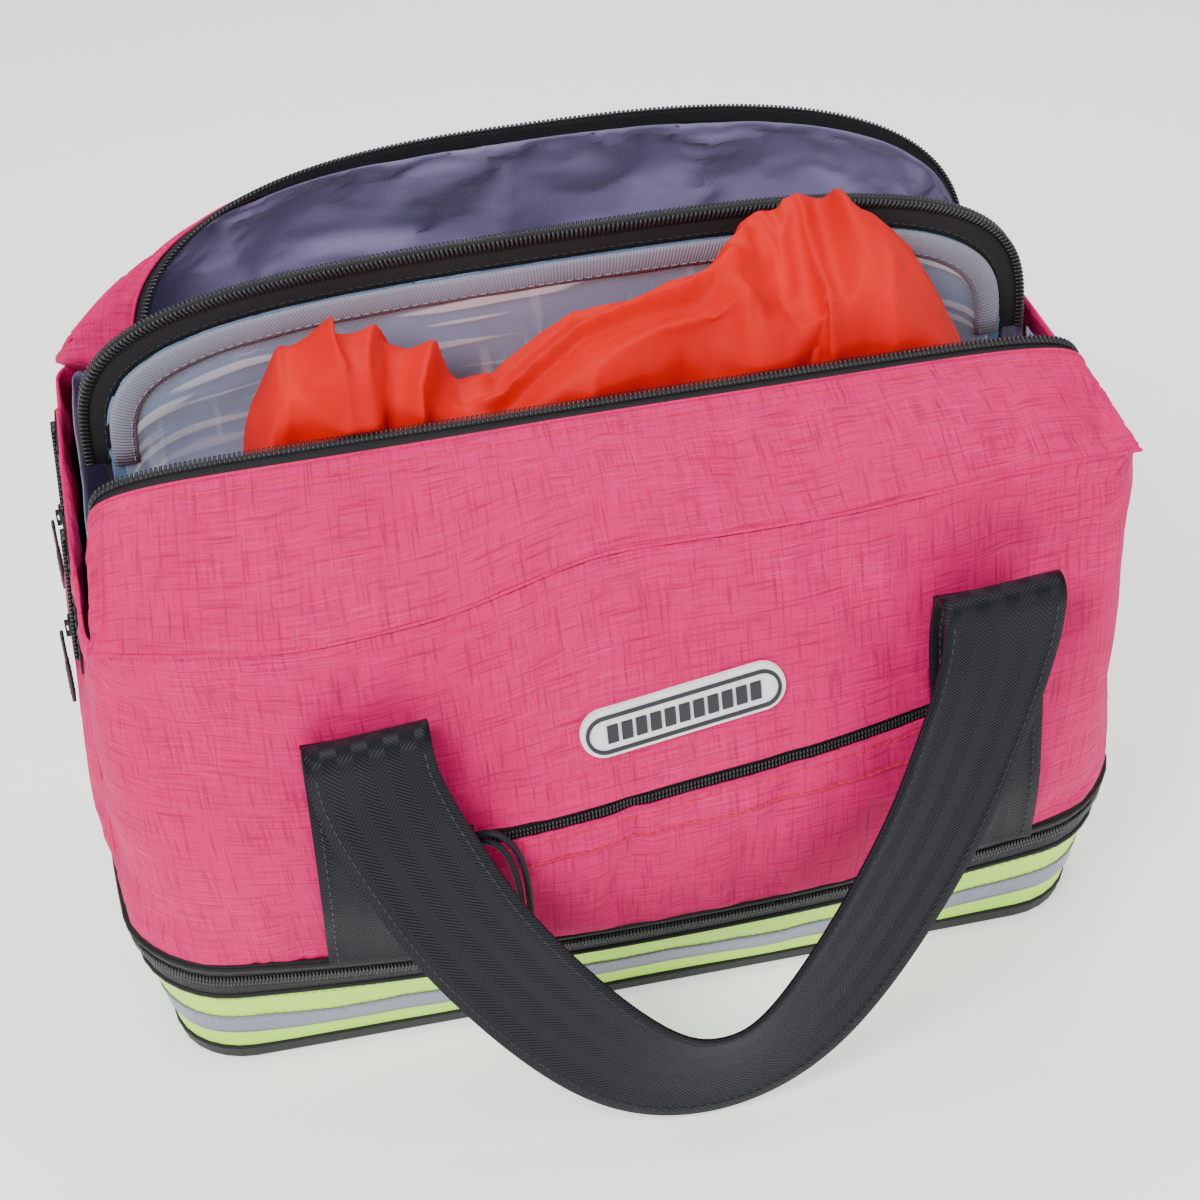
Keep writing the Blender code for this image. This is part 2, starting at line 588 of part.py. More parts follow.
def make_blanket():
    """The blanket as stowed: a soft folded mass whose hood stands against the divider."""
    us, vs = np.linspace(-1, 1, 21), np.linspace(-1, 1, 8)

    def top(x, y):
        lump = 0.240 + 0.010 * np.cos(x * 31 + 0.6) + 0.004 * np.cos(y * 60 + x * 12)
        hood = 0.082 * np.exp(-(((x - 0.10) / 0.05) ** 2) - ((y + 0.016) / 0.03) ** 2)
        roll = 0.050 * np.exp(-(((x + 0.085) / 0.055) ** 2) - ((y + 0.020) / 0.03) ** 2)
        ridge = 0.035 * np.exp(-(((x - 0.015) / 0.06) ** 2) - ((y + 0.026) / 0.028) ** 2)
        return lump + hood + roll + ridge

    near, far = [], []
    for u in us:
        low_row, top_row = [], []
        for v in vs:
            x, y = BLANKET_HALF * np.sign(u) * abs(u) ** 0.9, BLANKET_Y + BLANKET_DEPTH * v
            edge = (1 - abs(u) ** 6) ** 0.5 * (1 - abs(v) ** 6) ** 0.5
            low_row.append((x, y, FLOOR_Z + 2.5 * MM + 0.012 * (1 - edge)))
            top_row.append((x, y, 0.105 + (top(x, y) - 0.105) * (0.35 + 0.65 * edge)))
        near.append(low_row)
        far.append(top_row)
    grid_solid("fire_blanket", near, far, RED_CLOTH, 0.75, bend=False)


make_tray()
make_walls()
make_linings()
FRONT_AXIS = (0, -112.4 * MM, SEAM_Z + 0.2 * MM)
REAR_AXIS = (0, 112.4 * MM, SEAM_Z + 0.2 * MM)
make_flap("front", front_flap_surface, 66 * MM, 1, MAIN_GREY, FRONT_AXIS)
make_flap("rear", rear_flap_surface, 105 * MM, -1, REAR_GREY, REAR_AXIS)
make_pocket()
make_badge()
make_straps()
make_handle("front_handle", -1)
make_handle("rear_handle", 1)
make_tails()
make_pulls()
make_blanket()
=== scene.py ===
# %% [markdown]
# # An open emergency bag with its stowed blanket
# The bag is a soft duffel with a stiffened boot compartment below, a divided top with zips that stand
# open, and webbing handles. The blanket is one sheet of smooth orange-red cloth, bundled in the front
# half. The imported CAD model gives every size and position; this script dresses it in cloth, webbing,
# zip teeth and folds.

# %% Load the frame
import json

import bmesh
import bpy
import numpy as np
from mathutils import Matrix, Vector, noise
from mathutils.bvhtree import BVHTree
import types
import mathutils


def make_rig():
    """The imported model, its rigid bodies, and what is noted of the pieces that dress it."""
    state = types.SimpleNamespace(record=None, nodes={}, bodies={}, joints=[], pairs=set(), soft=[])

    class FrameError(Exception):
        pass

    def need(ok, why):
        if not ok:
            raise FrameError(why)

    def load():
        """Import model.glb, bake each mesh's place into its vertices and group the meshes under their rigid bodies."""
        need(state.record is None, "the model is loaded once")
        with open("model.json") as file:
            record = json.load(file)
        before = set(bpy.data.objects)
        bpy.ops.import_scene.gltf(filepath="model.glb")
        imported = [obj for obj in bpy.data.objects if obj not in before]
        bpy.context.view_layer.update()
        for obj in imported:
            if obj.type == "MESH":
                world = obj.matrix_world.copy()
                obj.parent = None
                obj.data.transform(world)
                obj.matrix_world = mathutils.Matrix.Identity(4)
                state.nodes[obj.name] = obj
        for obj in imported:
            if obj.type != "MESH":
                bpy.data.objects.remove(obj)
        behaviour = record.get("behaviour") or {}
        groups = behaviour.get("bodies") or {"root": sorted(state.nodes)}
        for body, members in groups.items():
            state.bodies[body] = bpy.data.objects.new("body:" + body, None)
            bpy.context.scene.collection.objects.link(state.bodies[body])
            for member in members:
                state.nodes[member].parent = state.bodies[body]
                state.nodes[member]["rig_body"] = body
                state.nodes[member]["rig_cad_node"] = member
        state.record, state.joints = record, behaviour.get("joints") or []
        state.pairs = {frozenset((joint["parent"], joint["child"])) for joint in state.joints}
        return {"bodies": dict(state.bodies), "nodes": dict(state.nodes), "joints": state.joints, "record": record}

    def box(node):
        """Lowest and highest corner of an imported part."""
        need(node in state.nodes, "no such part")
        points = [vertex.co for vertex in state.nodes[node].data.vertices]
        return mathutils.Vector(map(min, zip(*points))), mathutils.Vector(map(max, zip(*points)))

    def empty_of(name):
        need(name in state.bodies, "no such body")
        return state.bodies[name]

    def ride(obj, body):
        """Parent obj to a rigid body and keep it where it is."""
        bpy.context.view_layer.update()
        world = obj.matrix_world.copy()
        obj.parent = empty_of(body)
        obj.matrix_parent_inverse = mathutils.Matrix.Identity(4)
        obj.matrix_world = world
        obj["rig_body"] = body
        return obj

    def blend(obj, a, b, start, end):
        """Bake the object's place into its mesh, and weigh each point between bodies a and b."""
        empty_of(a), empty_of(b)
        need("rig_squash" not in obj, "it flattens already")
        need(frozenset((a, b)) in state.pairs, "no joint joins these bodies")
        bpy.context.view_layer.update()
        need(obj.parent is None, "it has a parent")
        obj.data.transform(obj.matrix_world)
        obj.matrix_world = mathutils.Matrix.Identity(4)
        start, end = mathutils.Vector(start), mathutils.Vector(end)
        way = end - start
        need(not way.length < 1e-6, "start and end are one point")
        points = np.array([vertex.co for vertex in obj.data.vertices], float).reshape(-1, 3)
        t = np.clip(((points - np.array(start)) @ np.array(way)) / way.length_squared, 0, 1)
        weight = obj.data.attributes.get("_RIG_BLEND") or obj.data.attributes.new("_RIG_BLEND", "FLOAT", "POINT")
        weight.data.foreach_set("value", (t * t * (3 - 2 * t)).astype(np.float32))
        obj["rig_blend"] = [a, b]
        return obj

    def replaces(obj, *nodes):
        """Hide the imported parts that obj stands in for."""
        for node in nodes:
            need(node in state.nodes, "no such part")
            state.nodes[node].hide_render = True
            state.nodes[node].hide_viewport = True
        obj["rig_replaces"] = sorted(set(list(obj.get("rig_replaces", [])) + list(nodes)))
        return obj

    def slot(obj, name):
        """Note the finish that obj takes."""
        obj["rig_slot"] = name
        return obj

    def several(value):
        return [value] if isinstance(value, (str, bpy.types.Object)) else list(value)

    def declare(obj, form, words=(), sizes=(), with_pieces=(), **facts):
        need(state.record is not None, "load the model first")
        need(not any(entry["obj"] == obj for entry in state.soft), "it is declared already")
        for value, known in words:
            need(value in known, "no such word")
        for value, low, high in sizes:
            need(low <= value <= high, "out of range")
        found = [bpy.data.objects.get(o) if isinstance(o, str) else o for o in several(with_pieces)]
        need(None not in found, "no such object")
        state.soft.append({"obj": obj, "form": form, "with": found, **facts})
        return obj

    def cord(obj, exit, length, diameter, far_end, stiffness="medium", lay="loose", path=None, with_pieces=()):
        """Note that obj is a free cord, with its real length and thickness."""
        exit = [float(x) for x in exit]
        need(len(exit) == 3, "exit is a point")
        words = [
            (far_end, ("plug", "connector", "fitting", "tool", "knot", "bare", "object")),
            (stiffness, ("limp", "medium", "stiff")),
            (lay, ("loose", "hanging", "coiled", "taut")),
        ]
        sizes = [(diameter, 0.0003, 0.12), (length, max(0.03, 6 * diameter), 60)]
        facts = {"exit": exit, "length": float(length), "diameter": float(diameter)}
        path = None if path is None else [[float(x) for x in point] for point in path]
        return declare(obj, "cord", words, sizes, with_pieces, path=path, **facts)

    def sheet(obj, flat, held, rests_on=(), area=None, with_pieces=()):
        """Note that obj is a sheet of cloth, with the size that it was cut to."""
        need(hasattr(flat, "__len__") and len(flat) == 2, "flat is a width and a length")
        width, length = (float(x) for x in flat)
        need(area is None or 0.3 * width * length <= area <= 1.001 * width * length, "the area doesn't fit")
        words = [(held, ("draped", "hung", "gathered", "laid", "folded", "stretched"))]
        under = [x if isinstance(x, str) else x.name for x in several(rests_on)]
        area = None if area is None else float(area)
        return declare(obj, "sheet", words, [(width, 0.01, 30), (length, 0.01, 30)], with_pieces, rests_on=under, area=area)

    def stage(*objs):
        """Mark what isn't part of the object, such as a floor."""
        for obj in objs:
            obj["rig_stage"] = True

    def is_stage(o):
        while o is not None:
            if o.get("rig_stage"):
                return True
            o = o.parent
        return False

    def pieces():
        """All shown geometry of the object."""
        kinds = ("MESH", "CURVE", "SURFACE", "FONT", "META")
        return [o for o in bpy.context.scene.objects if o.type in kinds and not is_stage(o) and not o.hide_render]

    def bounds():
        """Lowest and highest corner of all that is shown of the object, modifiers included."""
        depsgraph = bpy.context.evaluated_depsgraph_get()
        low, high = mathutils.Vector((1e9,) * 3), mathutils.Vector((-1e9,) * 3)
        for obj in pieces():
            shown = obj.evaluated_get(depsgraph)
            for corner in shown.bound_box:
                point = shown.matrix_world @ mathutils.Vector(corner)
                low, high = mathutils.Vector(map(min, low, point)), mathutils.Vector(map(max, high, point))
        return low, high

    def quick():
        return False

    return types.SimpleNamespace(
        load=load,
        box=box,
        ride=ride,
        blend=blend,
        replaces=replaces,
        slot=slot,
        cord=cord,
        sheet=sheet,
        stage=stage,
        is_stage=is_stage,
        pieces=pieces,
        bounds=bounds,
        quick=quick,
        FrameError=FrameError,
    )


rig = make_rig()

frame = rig.load()
cad_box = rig.bounds()
MM = 0.001
print("bodies:", ", ".join(frame["bodies"]))

# %% [markdown]
# ## Camera and light
# The bag is seen from above its front left corner, through a short telephoto lens. The camera is set
# from an azimuth, an elevation and a slight roll, so its place can be read and changed in plain angles.
# Three large soft lamps and a pale world give the even light of a studio table.

# %% Camera
AZIMUTH, ELEVATION, ROLL = np.radians((-10.0, 35.0, -3.5))
DISTANCE, LENS = 1.19, 80.0
TARGET = Vector((0.0, 0.0, 0.15))


def camera_axes():
    """Right, up and back directions of the camera."""
    back = Vector(
        (
            np.sin(AZIMUTH) * np.cos(ELEVATION),
            -np.cos(AZIMUTH) * np.cos(ELEVATION),
            np.sin(ELEVATION),
        )
    )
    right = Vector((np.cos(AZIMUTH), np.sin(AZIMUTH), 0.0))
    up = back.cross(right)
    turn, side = np.cos(ROLL), np.sin(ROLL)
    return turn * right + side * up, turn * up - side * right, back


right, up, back = camera_axes()
camera = bpy.data.objects.new("camera", bpy.data.cameras.new("camera"))
camera.data.lens = LENS
camera.data.sensor_width = 36.0
camera.data.shift_x = 0.0137
camera.data.shift_y = -0.0039
pose = Matrix((right, up, back)).transposed().to_4x4()
pose.translation = TARGET + DISTANCE * back
camera.matrix_world = pose
bpy.context.scene.collection.objects.link(camera)
bpy.context.scene.camera = camera
print("camera at", [round(v, 3) for v in pose.translation])


# %% Lamps, world and floor
def soft_lamp(name, place, aim, size, power):
    """A square area lamp that points at a spot."""
    data = bpy.data.lights.new(name, "AREA")
    data.shape, data.size, data.energy = "SQUARE", size, power
    lamp = bpy.data.objects.new(name, data)
    direction = Vector(aim) - Vector(place)
    lamp.location = place
    lamp.rotation_euler = direction.to_track_quat("-Z", "Y").to_euler()
    bpy.context.scene.collection.objects.link(lamp)


soft_lamp("key_lamp", (-0.9, -1.1, 1.5), (0, 0, 0.15), 0.8, 34.0)
soft_lamp("fill_lamp", (1.3, -0.9, 0.9), (0, 0, 0.15), 1.1, 9.0)
soft_lamp("top_lamp", (0.1, 0.5, 1.6), (0, 0, 0.2), 1.0, 16.0)
world = bpy.data.worlds.new("studio")
world.use_nodes = True
world.node_tree.nodes["Background"].inputs["Color"].default_value = (1.0, 1.0, 1.0, 1.0)
world.node_tree.nodes["Background"].inputs["Strength"].default_value = 0.42
bpy.context.scene.world = world

floor_mesh = bpy.data.meshes.new("floor")
REACH = 4.0
corners = [(-REACH, -REACH, 0), (REACH, -REACH, 0), (REACH, REACH, 0), (-REACH, REACH, 0)]
floor_mesh.from_pydata(corners, [], [(0, 1, 2, 3)])
floor = bpy.data.objects.new("floor", floor_mesh)
floor.location.z = -0.0005
bpy.context.scene.collection.objects.link(floor)
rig.stage(floor)


# %% [markdown]
# ## Finishes
# Every finish is built from nodes on a map that is in real metres: u runs along the bag, v up it.
# Woven cloth is two crossed families of thin streaks, webbing is a zigzag of ribs, and vinyl is clear
# with a sharp gloss. A streak that is 1 mm wide in the nodes is then 1 mm wide on the bag.

# %% Node helpers
def new_finish(name, colour, roughness, **sockets):
    """A material with one Principled shader, and its node tree."""
    made = bpy.data.materials.new(name)
    made.use_nodes = True
    shader = made.node_tree.nodes["Principled BSDF"]
    shader.inputs["Base Color"].default_value = (*colour, 1.0)
    shader.inputs["Roughness"].default_value = roughness
    for socket, value in sockets.items():
        shader.inputs[socket.replace("_", " ")].default_value = value
    return made, made.node_tree, shader


def add_node(tree, kind, inputs=None, **settings):
    """A node with its settings and input values."""
    node = tree.nodes.new(kind)
    for key, value in settings.items():
        setattr(node, key, value)
    for key, value in (inputs or {}).items():
        if isinstance(value, bpy.types.NodeSocket):
            tree.links.new(value, node.inputs[key])
        else:
            node.inputs[key].default_value = value
    return node


def cloth_map(tree):
    """The map in metres that every sewn piece carries."""
    return add_node(tree, "ShaderNodeUVMap", uv_map="cloth").outputs["UV"]


def streaks(tree, source, scale, low, high, detail=2.0):
    """Noise that is stretched by a different scale along u and v, cut to between two levels."""
    mapped = add_node(tree, "ShaderNodeMapping", {"Vector": source, "Scale": (*scale, 1.0)})
    grain = add_node(
        tree,
        "ShaderNodeTexNoise",
        {"Vector": mapped.outputs["Vector"], "Scale": 1.0, "Detail": detail},
    )
    cut = add_node(
        tree,
        "ShaderNodeMapRange",
        {"Value": grain.outputs["Fac"], "From Min": low, "From Max": high},
    )
    return cut.outputs["Result"]


def maths(tree, operation, first, second=0.0):
    """One arithmetic node."""
    node = add_node(tree, "ShaderNodeMath", operation=operation)
    for slot, value in ((0, first), (1, second)):
        if isinstance(value, bpy.types.NodeSocket):
            tree.links.new(value, node.inputs[slot])
        else:
            node.inputs[slot].default_value = value
    return node.outputs[0]


def mix_colour(tree, share, first, second):
    """A blend of two colours, each a colour or a socket."""
    node = add_node(tree, "ShaderNodeMix", data_type="RGBA")
    for slot, value in ((0, share), (6, first), (7, second)):
        if isinstance(value, bpy.types.NodeSocket):
            tree.links.new(value, node.inputs[slot])
        elif slot == 0:
            node.inputs[0].default_value = value
        else:
            node.inputs[slot].default_value = (*value, 1.0)
    return node.outputs[2]


def raise_bump(tree, shader, height, strength, distance):
    """Bump from a height socket, in metres of depth."""
    bump = add_node(
        tree,
        "ShaderNodeBump",
        {"Height": height, "Strength": strength, "Distance": distance},
    )
    tree.links.new(bump.outputs["Normal"], shader.inputs["Normal"])


# %% Melange polyester
def melange(name, dark, middle, light):
    """Woven cloth whose warp and weft both carry thin pale and dark slubs."""
    made, tree, shader = new_finish(
        name, middle, 0.78, Sheen_Weight=0.05, Sheen_Roughness=0.45, Specular_IOR_Level=0.25
    )
    shader.inputs["Sheen Tint"].default_value = (1.0, 0.25, 0.4, 1.0)
    uv = cloth_map(tree)
    weft = streaks(tree, uv, (55, 1100), 0.50, 0.74, 3.0)
    warp = streaks(tree, uv, (1000, 60), 0.50, 0.74, 3.0)
    shade_weft = streaks(tree, uv, (38, 760), 0.52, 0.72)
    shade_warp = streaks(tree, uv, (720, 42), 0.52, 0.72)
    patches = streaks(tree, uv, (14, 18), 0.35, 0.7)
    pale = maths(tree, "MAXIMUM", weft, maths(tree, "MULTIPLY", warp, 0.75))
    deep = maths(tree, "MAXIMUM", shade_weft, shade_warp)
    tone = mix_colour(tree, maths(tree, "MULTIPLY", deep, 0.75), middle, dark)
    share = maths(tree, "MULTIPLY", pale, maths(tree, "ADD", maths(tree, "MULTIPLY", patches, 0.45), 0.2))
    colour = mix_colour(tree, share, tone, light)
    tree.links.new(colour, shader.inputs["Base Color"])
    fine = streaks(tree, uv, (900, 900), 0.3, 0.7, 1.0)
    height = maths(tree, "ADD", maths(tree, "ADD", weft, warp), maths(tree, "MULTIPLY", fine, 0.6))
    raise_bump(tree, shader, height, 0.35, 0.25 * MM)
    return made


pink = melange("pink_melange", (0.34, 0.0, 0.055), (0.67, 0.0, 0.120), (0.98, 0.03, 0.27))


# %% Webbing, tapes and plain black cloth
def webbing(name, colour, pitch, column):
    """Herringbone: slanted ribs that turn back at each column across the strap."""
    made, tree, shader = new_finish(
        name, colour, 0.45, Sheen_Weight=0.03, Sheen_Roughness=0.35, Specular_IOR_Level=0.22
    )
    shader.inputs["Sheen Tint"].default_value = (0.6, 0.65, 0.9, 1.0)
    parts = add_node(tree, "ShaderNodeSeparateXYZ", {"Vector": cloth_map(tree)})
    across, along = parts.outputs["X"], parts.outputs["Y"]
    zigzag = maths(tree, "PINGPONG", across, column)
    phase = maths(tree, "MULTIPLY", maths(tree, "ADD", along, zigzag), 6.2832 / pitch)
    rib = maths(tree, "SINE", phase)
    wear = streaks(tree, cloth_map(tree), (40, 25), 0.35, 0.75)
    lifted = tuple(min(1.0, channel * 2.2 + 0.002) for channel in colour)
    share = maths(tree, "MULTIPLY", maths(tree, "ADD", rib, 1.0), 0.32)
    tone = mix_colour(tree, share, colour, lifted)
    tree.links.new(mix_colour(tree, maths(tree, "MULTIPLY", wear, 0.25), tone, lifted), shader.inputs["Base Color"])
    raise_bump(tree, shader, rib, 0.45, 0.3 * MM)
    return made


def plain_weave(name, colour, roughness, pitch, depth=0.15, sheen=0.2, speckle=0.3):
    """A close plain weave with a little uneven tone."""
    made, tree, shader = new_finish(name, colour, roughness, Sheen_Weight=sheen, Sheen_Roughness=0.5)
    parts = add_node(tree, "ShaderNodeSeparateXYZ", {"Vector": cloth_map(tree)})
    over = maths(tree, "SINE", maths(tree, "MULTIPLY", parts.outputs["X"], 6.2832 / pitch))
    under = maths(tree, "SINE", maths(tree, "MULTIPLY", parts.outputs["Y"], 6.2832 / pitch))
    height = maths(tree, "MULTIPLY", over, under)
    tone = streaks(tree, cloth_map(tree), (220, 220), 0.3, 0.7)
    lifted = tuple(min(1.0, channel * 1.35 + 0.006) for channel in colour)
    mixed = mix_colour(tree, maths(tree, "MULTIPLY", tone, speckle), colour, lifted)
    tree.links.new(mixed, shader.inputs["Base Color"])
    raise_bump(tree, shader, height, 0.4, depth * MM)
    return made


def twill(name, colour, roughness, pitch, depth=0.12, sheen=0.3, lift=1.3):
    """Diagonal lines, as on lining cloth."""
    made, tree, shader = new_finish(name, colour, roughness, Sheen_Weight=sheen, Sheen_Roughness=0.3)
    parts = add_node(tree, "ShaderNodeSeparateXYZ", {"Vector": cloth_map(tree)})
    slant = maths(tree, "ADD", parts.outputs["X"], maths(tree, "MULTIPLY", parts.outputs["Y"], 0.6))
    line = maths(tree, "SINE", maths(tree, "MULTIPLY", slant, 6.2832 / pitch))
    cloudy = streaks(tree, cloth_map(tree), (35, 35), 0.3, 0.75)
    lifted = tuple(min(1.0, channel * lift) for channel in colour)
    share = maths(tree, "ADD", maths(tree, "MULTIPLY", line, 0.2), maths(tree, "MULTIPLY", cloudy, 0.5))
    tree.links.new(mix_colour(tree, share, colour, lifted), shader.inputs["Base Color"])
    raise_bump(tree, shader, line, 0.4, depth * MM)
    return made


def ribbed(name, colour, roughness, pitch, depth, sheen=0.2):
    """Cross ribs, as on grosgrain binding and zip tape."""
    made, tree, shader = new_finish(name, colour, roughness, Sheen_Weight=sheen, Sheen_Roughness=0.4)
    parts = add_node(tree, "ShaderNodeSeparateXYZ", {"Vector": cloth_map(tree)})
    rib = maths(tree, "SINE", maths(tree, "MULTIPLY", parts.outputs["X"], 6.2832 / pitch))
    lifted = tuple(min(1.0, channel * 1.5 + 0.01) for channel in colour)
    share = maths(tree, "MULTIPLY", maths(tree, "ADD", rib, 1.0), 0.3)
    tree.links.new(mix_colour(tree, share, colour, lifted), shader.inputs["Base Color"])
    raise_bump(tree, shader, rib, 0.5, depth * MM)
    return made


black_webbing = webbing("black_webbing", (0.0016, 0.0019, 0.0048), 1.9 * MM, 6.25 * MM)
black_cloth = plain_weave("black_cloth", (0.003, 0.003, 0.004), 0.75, 0.9 * MM, sheen=0.08)
zip_tape = ribbed("zip_tape", (0.0025, 0.0025, 0.0038), 0.8, 0.8 * MM, 0.1, sheen=0.06)
main_lining_cloth = twill("blue_grey_lining", (0.13, 0.21, 0.37), 0.5, 1.1 * MM)
rear_lining_cloth = twill("lavender_lining", (0.21, 0.185, 0.33), 0.42, 1.1 * MM)
grey_binding = ribbed("grey_binding", (0.20, 0.21, 0.27), 0.6, 1.4 * MM, 0.25)
hi_vis = plain_weave("hi_vis_tape", (0.50, 0.90, 0.05), 0.6, 0.8 * MM, 0.1, 0.1, 0.12)
# Painted glow: the emission makes the tape shine a little on its own, standing in for its fluorescent brightness.
hi_vis.node_tree.nodes["Principled BSDF"].inputs["Emission Color"].default_value = (0.45, 1.0, 0.1, 1.0)
hi_vis.node_tree.nodes["Principled BSDF"].inputs["Emission Strength"].default_value = 0.16
thread_red = plain_weave("red_thread", (0.75, 0.0, 0.0), 0.6, 0.4 * MM)
thread_pink = plain_weave("pink_thread", (0.80, 0.03, 0.14), 0.6, 0.4 * MM)
thread_lime = plain_weave("lime_thread", (0.40, 0.72, 0.10), 0.6, 0.4 * MM)
thread_black = plain_weave("black_thread", (0.012, 0.012, 0.016), 0.5, 0.4 * MM)


# %% Reflective tape, plastic, rubber, metal, vinyl and the blanket's cloth
def beaded(name, colour):
    """Retroreflective tape: a grey film full of tiny glass beads."""
    made, tree, shader = new_finish(name, colour, 0.38, Metallic=0.35)
    beads = add_node(
        tree,
        "ShaderNodeTexVoronoi",
        {"Vector": cloth_map(tree), "Scale": 1400.0},
    )
    cells = add_node(
        tree,
        "ShaderNodeMapRange",
        {"Value": beads.outputs["Distance"], "From Min": 0.1, "From Max": 0.6},
    )
    lifted = tuple(min(1.0, channel * 1.5) for channel in colour)
    tree.links.new(mix_colour(tree, cells.outputs["Result"], lifted, colour), shader.inputs["Base Color"])
    raise_bump(tree, shader, cells.outputs["Result"], 0.3, 0.1 * MM)
    return made


def moulded(name, colour, roughness, metallic=0.0, grain=900.0, depth=0.05):
    """Plastic, rubber or lacquered metal with a fine skin and uneven gloss."""
    made, tree, shader = new_finish(name, colour, roughness, Metallic=metallic)
    place = add_node(tree, "ShaderNodeTexCoord").outputs["Object"]
    skin = add_node(tree, "ShaderNodeTexNoise", {"Vector": place, "Scale": grain, "Detail": 2.0})
    haze = add_node(tree, "ShaderNodeTexNoise", {"Vector": place, "Scale": 60.0, "Detail": 3.0})
    gloss = add_node(
        tree,
        "ShaderNodeMapRange",
        {"Value": haze.outputs["Fac"], "To Min": roughness * 0.8, "To Max": roughness * 1.25},
    )
    tree.links.new(gloss.outputs["Result"], shader.inputs["Roughness"])
    lifted = tuple(min(1.0, channel * 1.3 + 0.004) for channel in colour)
    tree.links.new(mix_colour(tree, haze.outputs["Fac"], colour, lifted), shader.inputs["Base Color"])
    raise_bump(tree, shader, skin.outputs["Fac"], 0.3, depth * MM)
    return made


def clear_sheet(name):
    """Clear soft vinyl: shallow dents, and whitish streaks of painted highlight in its alpha, more of them near the
    top edge.
    """
    made, tree, shader = new_finish(
        name, (0.86, 0.90, 0.94), 0.08, Specular_IOR_Level=1.0, Coat_Weight=1.0, Coat_Roughness=0.04
    )
    dents = streaks(tree, cloth_map(tree), (26, 9), 0.25, 0.8, 3.0)
    raise_bump(tree, shader, dents, 0.8, 2.5 * MM)
    # Painted highlight: these streaks raise the film's alpha, so the film shows whiter where glare would fall; the
    # glints below add more near the top edge.
    painted_glare = streaks(tree, cloth_map(tree), (75, 13), 0.60, 0.72, 2.0)
    parts = add_node(tree, "ShaderNodeSeparateXYZ", {"Vector": cloth_map(tree)})
    rim = add_node(tree, "ShaderNodeMapRange", {"Value": parts.outputs["Y"], "From Min": 0.105, "From Max": 0.15})
    glints = streaks(tree, cloth_map(tree), (12, 170), 0.56, 0.62, 1.0)
    streak = maths(tree, "MULTIPLY", glints, rim.outputs["Result"])
    painted_glare = maths(tree, "ADD", maths(tree, "MULTIPLY", painted_glare, 0.22), maths(tree, "MULTIPLY", streak, 0.38))
    veil = maths(tree, "ADD", painted_glare, 0.10)
    tree.links.new(veil, shader.inputs["Alpha"])
    return made


def blanket_cloth(name):
    """Smooth coated cloth: a very fine weave with a soft sheen."""
    made, tree, shader = new_finish(
        name, (0.85, 0.0, 0.0), 0.62, Specular_IOR_Level=0.2, Sheen_Weight=0.04, Sheen_Roughness=0.35
    )
    shader.inputs["Sheen Tint"].default_value = (1.0, 0.25, 0.1, 1.0)
    uv = cloth_map(tree)
    parts = add_node(tree, "ShaderNodeSeparateXYZ", {"Vector": uv})
    warp = maths(tree, "SINE", maths(tree, "MULTIPLY", parts.outputs["X"], 6.2832 / (0.9 * MM)))
    weft = maths(tree, "SINE", maths(tree, "MULTIPLY", parts.outputs["Y"], 6.2832 / (0.9 * MM)))
    cloudy = streaks(tree, uv, (18, 18), 0.3, 0.75, 3.0)
    tone = mix_colour(tree, cloudy, (0.60, 0.0, 0.0), (0.78, 0.001, 0.0))
    tree.links.new(tone, shader.inputs["Base Color"])
    crease = streaks(tree, uv, (70, 70), 0.2, 0.8, 4.0)
    height = maths(tree, "ADD", maths(tree, "MULTIPLY", maths(tree, "MULTIPLY", warp, weft), 0.12), crease)
    raise_bump(tree, shader, height, 0.22, 0.8 * MM)
    return made


reflective = beaded("reflective_tape", (0.20, 0.205, 0.29))
coil_plastic = moulded("zip_coil", (0.012, 0.012, 0.015), 0.32)
pull_plastic = moulded("pull_plastic", (0.014, 0.014, 0.017), 0.4)
slider_metal = moulded("slider_metal", (0.02, 0.02, 0.023), 0.3, 0.85)
badge_white = moulded("badge_white", (0.80, 0.81, 0.84), 0.5, grain=1500.0)
badge_dark = moulded("badge_dark", (0.016, 0.016, 0.022), 0.5, grain=1500.0)
board_plastic = moulded("stiff_board", (0.02, 0.02, 0.024), 0.6)
cord_braid = webbing("cord_braid", (0.008, 0.008, 0.011), 1.4 * MM, 1.6 * MM)
vinyl = clear_sheet("clear_vinyl")
red_cloth = blanket_cloth("orange_red_cloth")
floor_paint = moulded("pale_floor", (0.95, 0.95, 0.95), 0.9, grain=40.0, depth=0.02)
floor_shader = floor_paint.node_tree.nodes["Principled BSDF"]
floor_shader.inputs["Emission Color"].default_value = (1.0, 1.0, 1.0, 1.0)
floor_shader.inputs["Emission Strength"].default_value = 0.75
floor_mesh.materials.append(floor_paint)
print("finishes:", len(bpy.data.materials))


# %% [markdown]
# ## The shape of the bag
# A soft bag is a lofted shell: each level of it is a rounded rectangle, and the filling pushes the
# middle of each side outwards. Two functions hold that: `section` gives the rectangle at a height, and
# `swell` moves any point outwards. A third, `settle`, lets the empty front corner slump. Every sewn
# layer goes through the same three, so layers stay nested however the bag sags.

# %% Section, swell and slump
LEVELS = np.array([0.0, 73.0, 246.0, 330.0]) * MM
HALF_LENGTH = np.array([204.0, 215.0, 214.0, 214.0]) * MM
HALF_DEPTH = np.array([92.0, 105.0, 107.0, 107.0]) * MM
CORNER = np.array([30.0, 34.0, 16.0, 16.0]) * MM
SWELL_AT = np.array([0.0, 40.0, 73.0, 110.0, 150.0, 190.0, 225.0, 246.0, 300.0]) * MM
SWELL = np.array([0.0, 14.0, 25.0, 29.0, 26.0, 17.5, 8.5, 4.0, 0.0]) * MM
SLUMP_AT = np.array([-214, -185, -134, -74, -12, 48, 89, 151, 211]) * MM
SLUMP = np.array([-8, -14, -20, -15, 1, 0, 0, 5, 6]) * MM


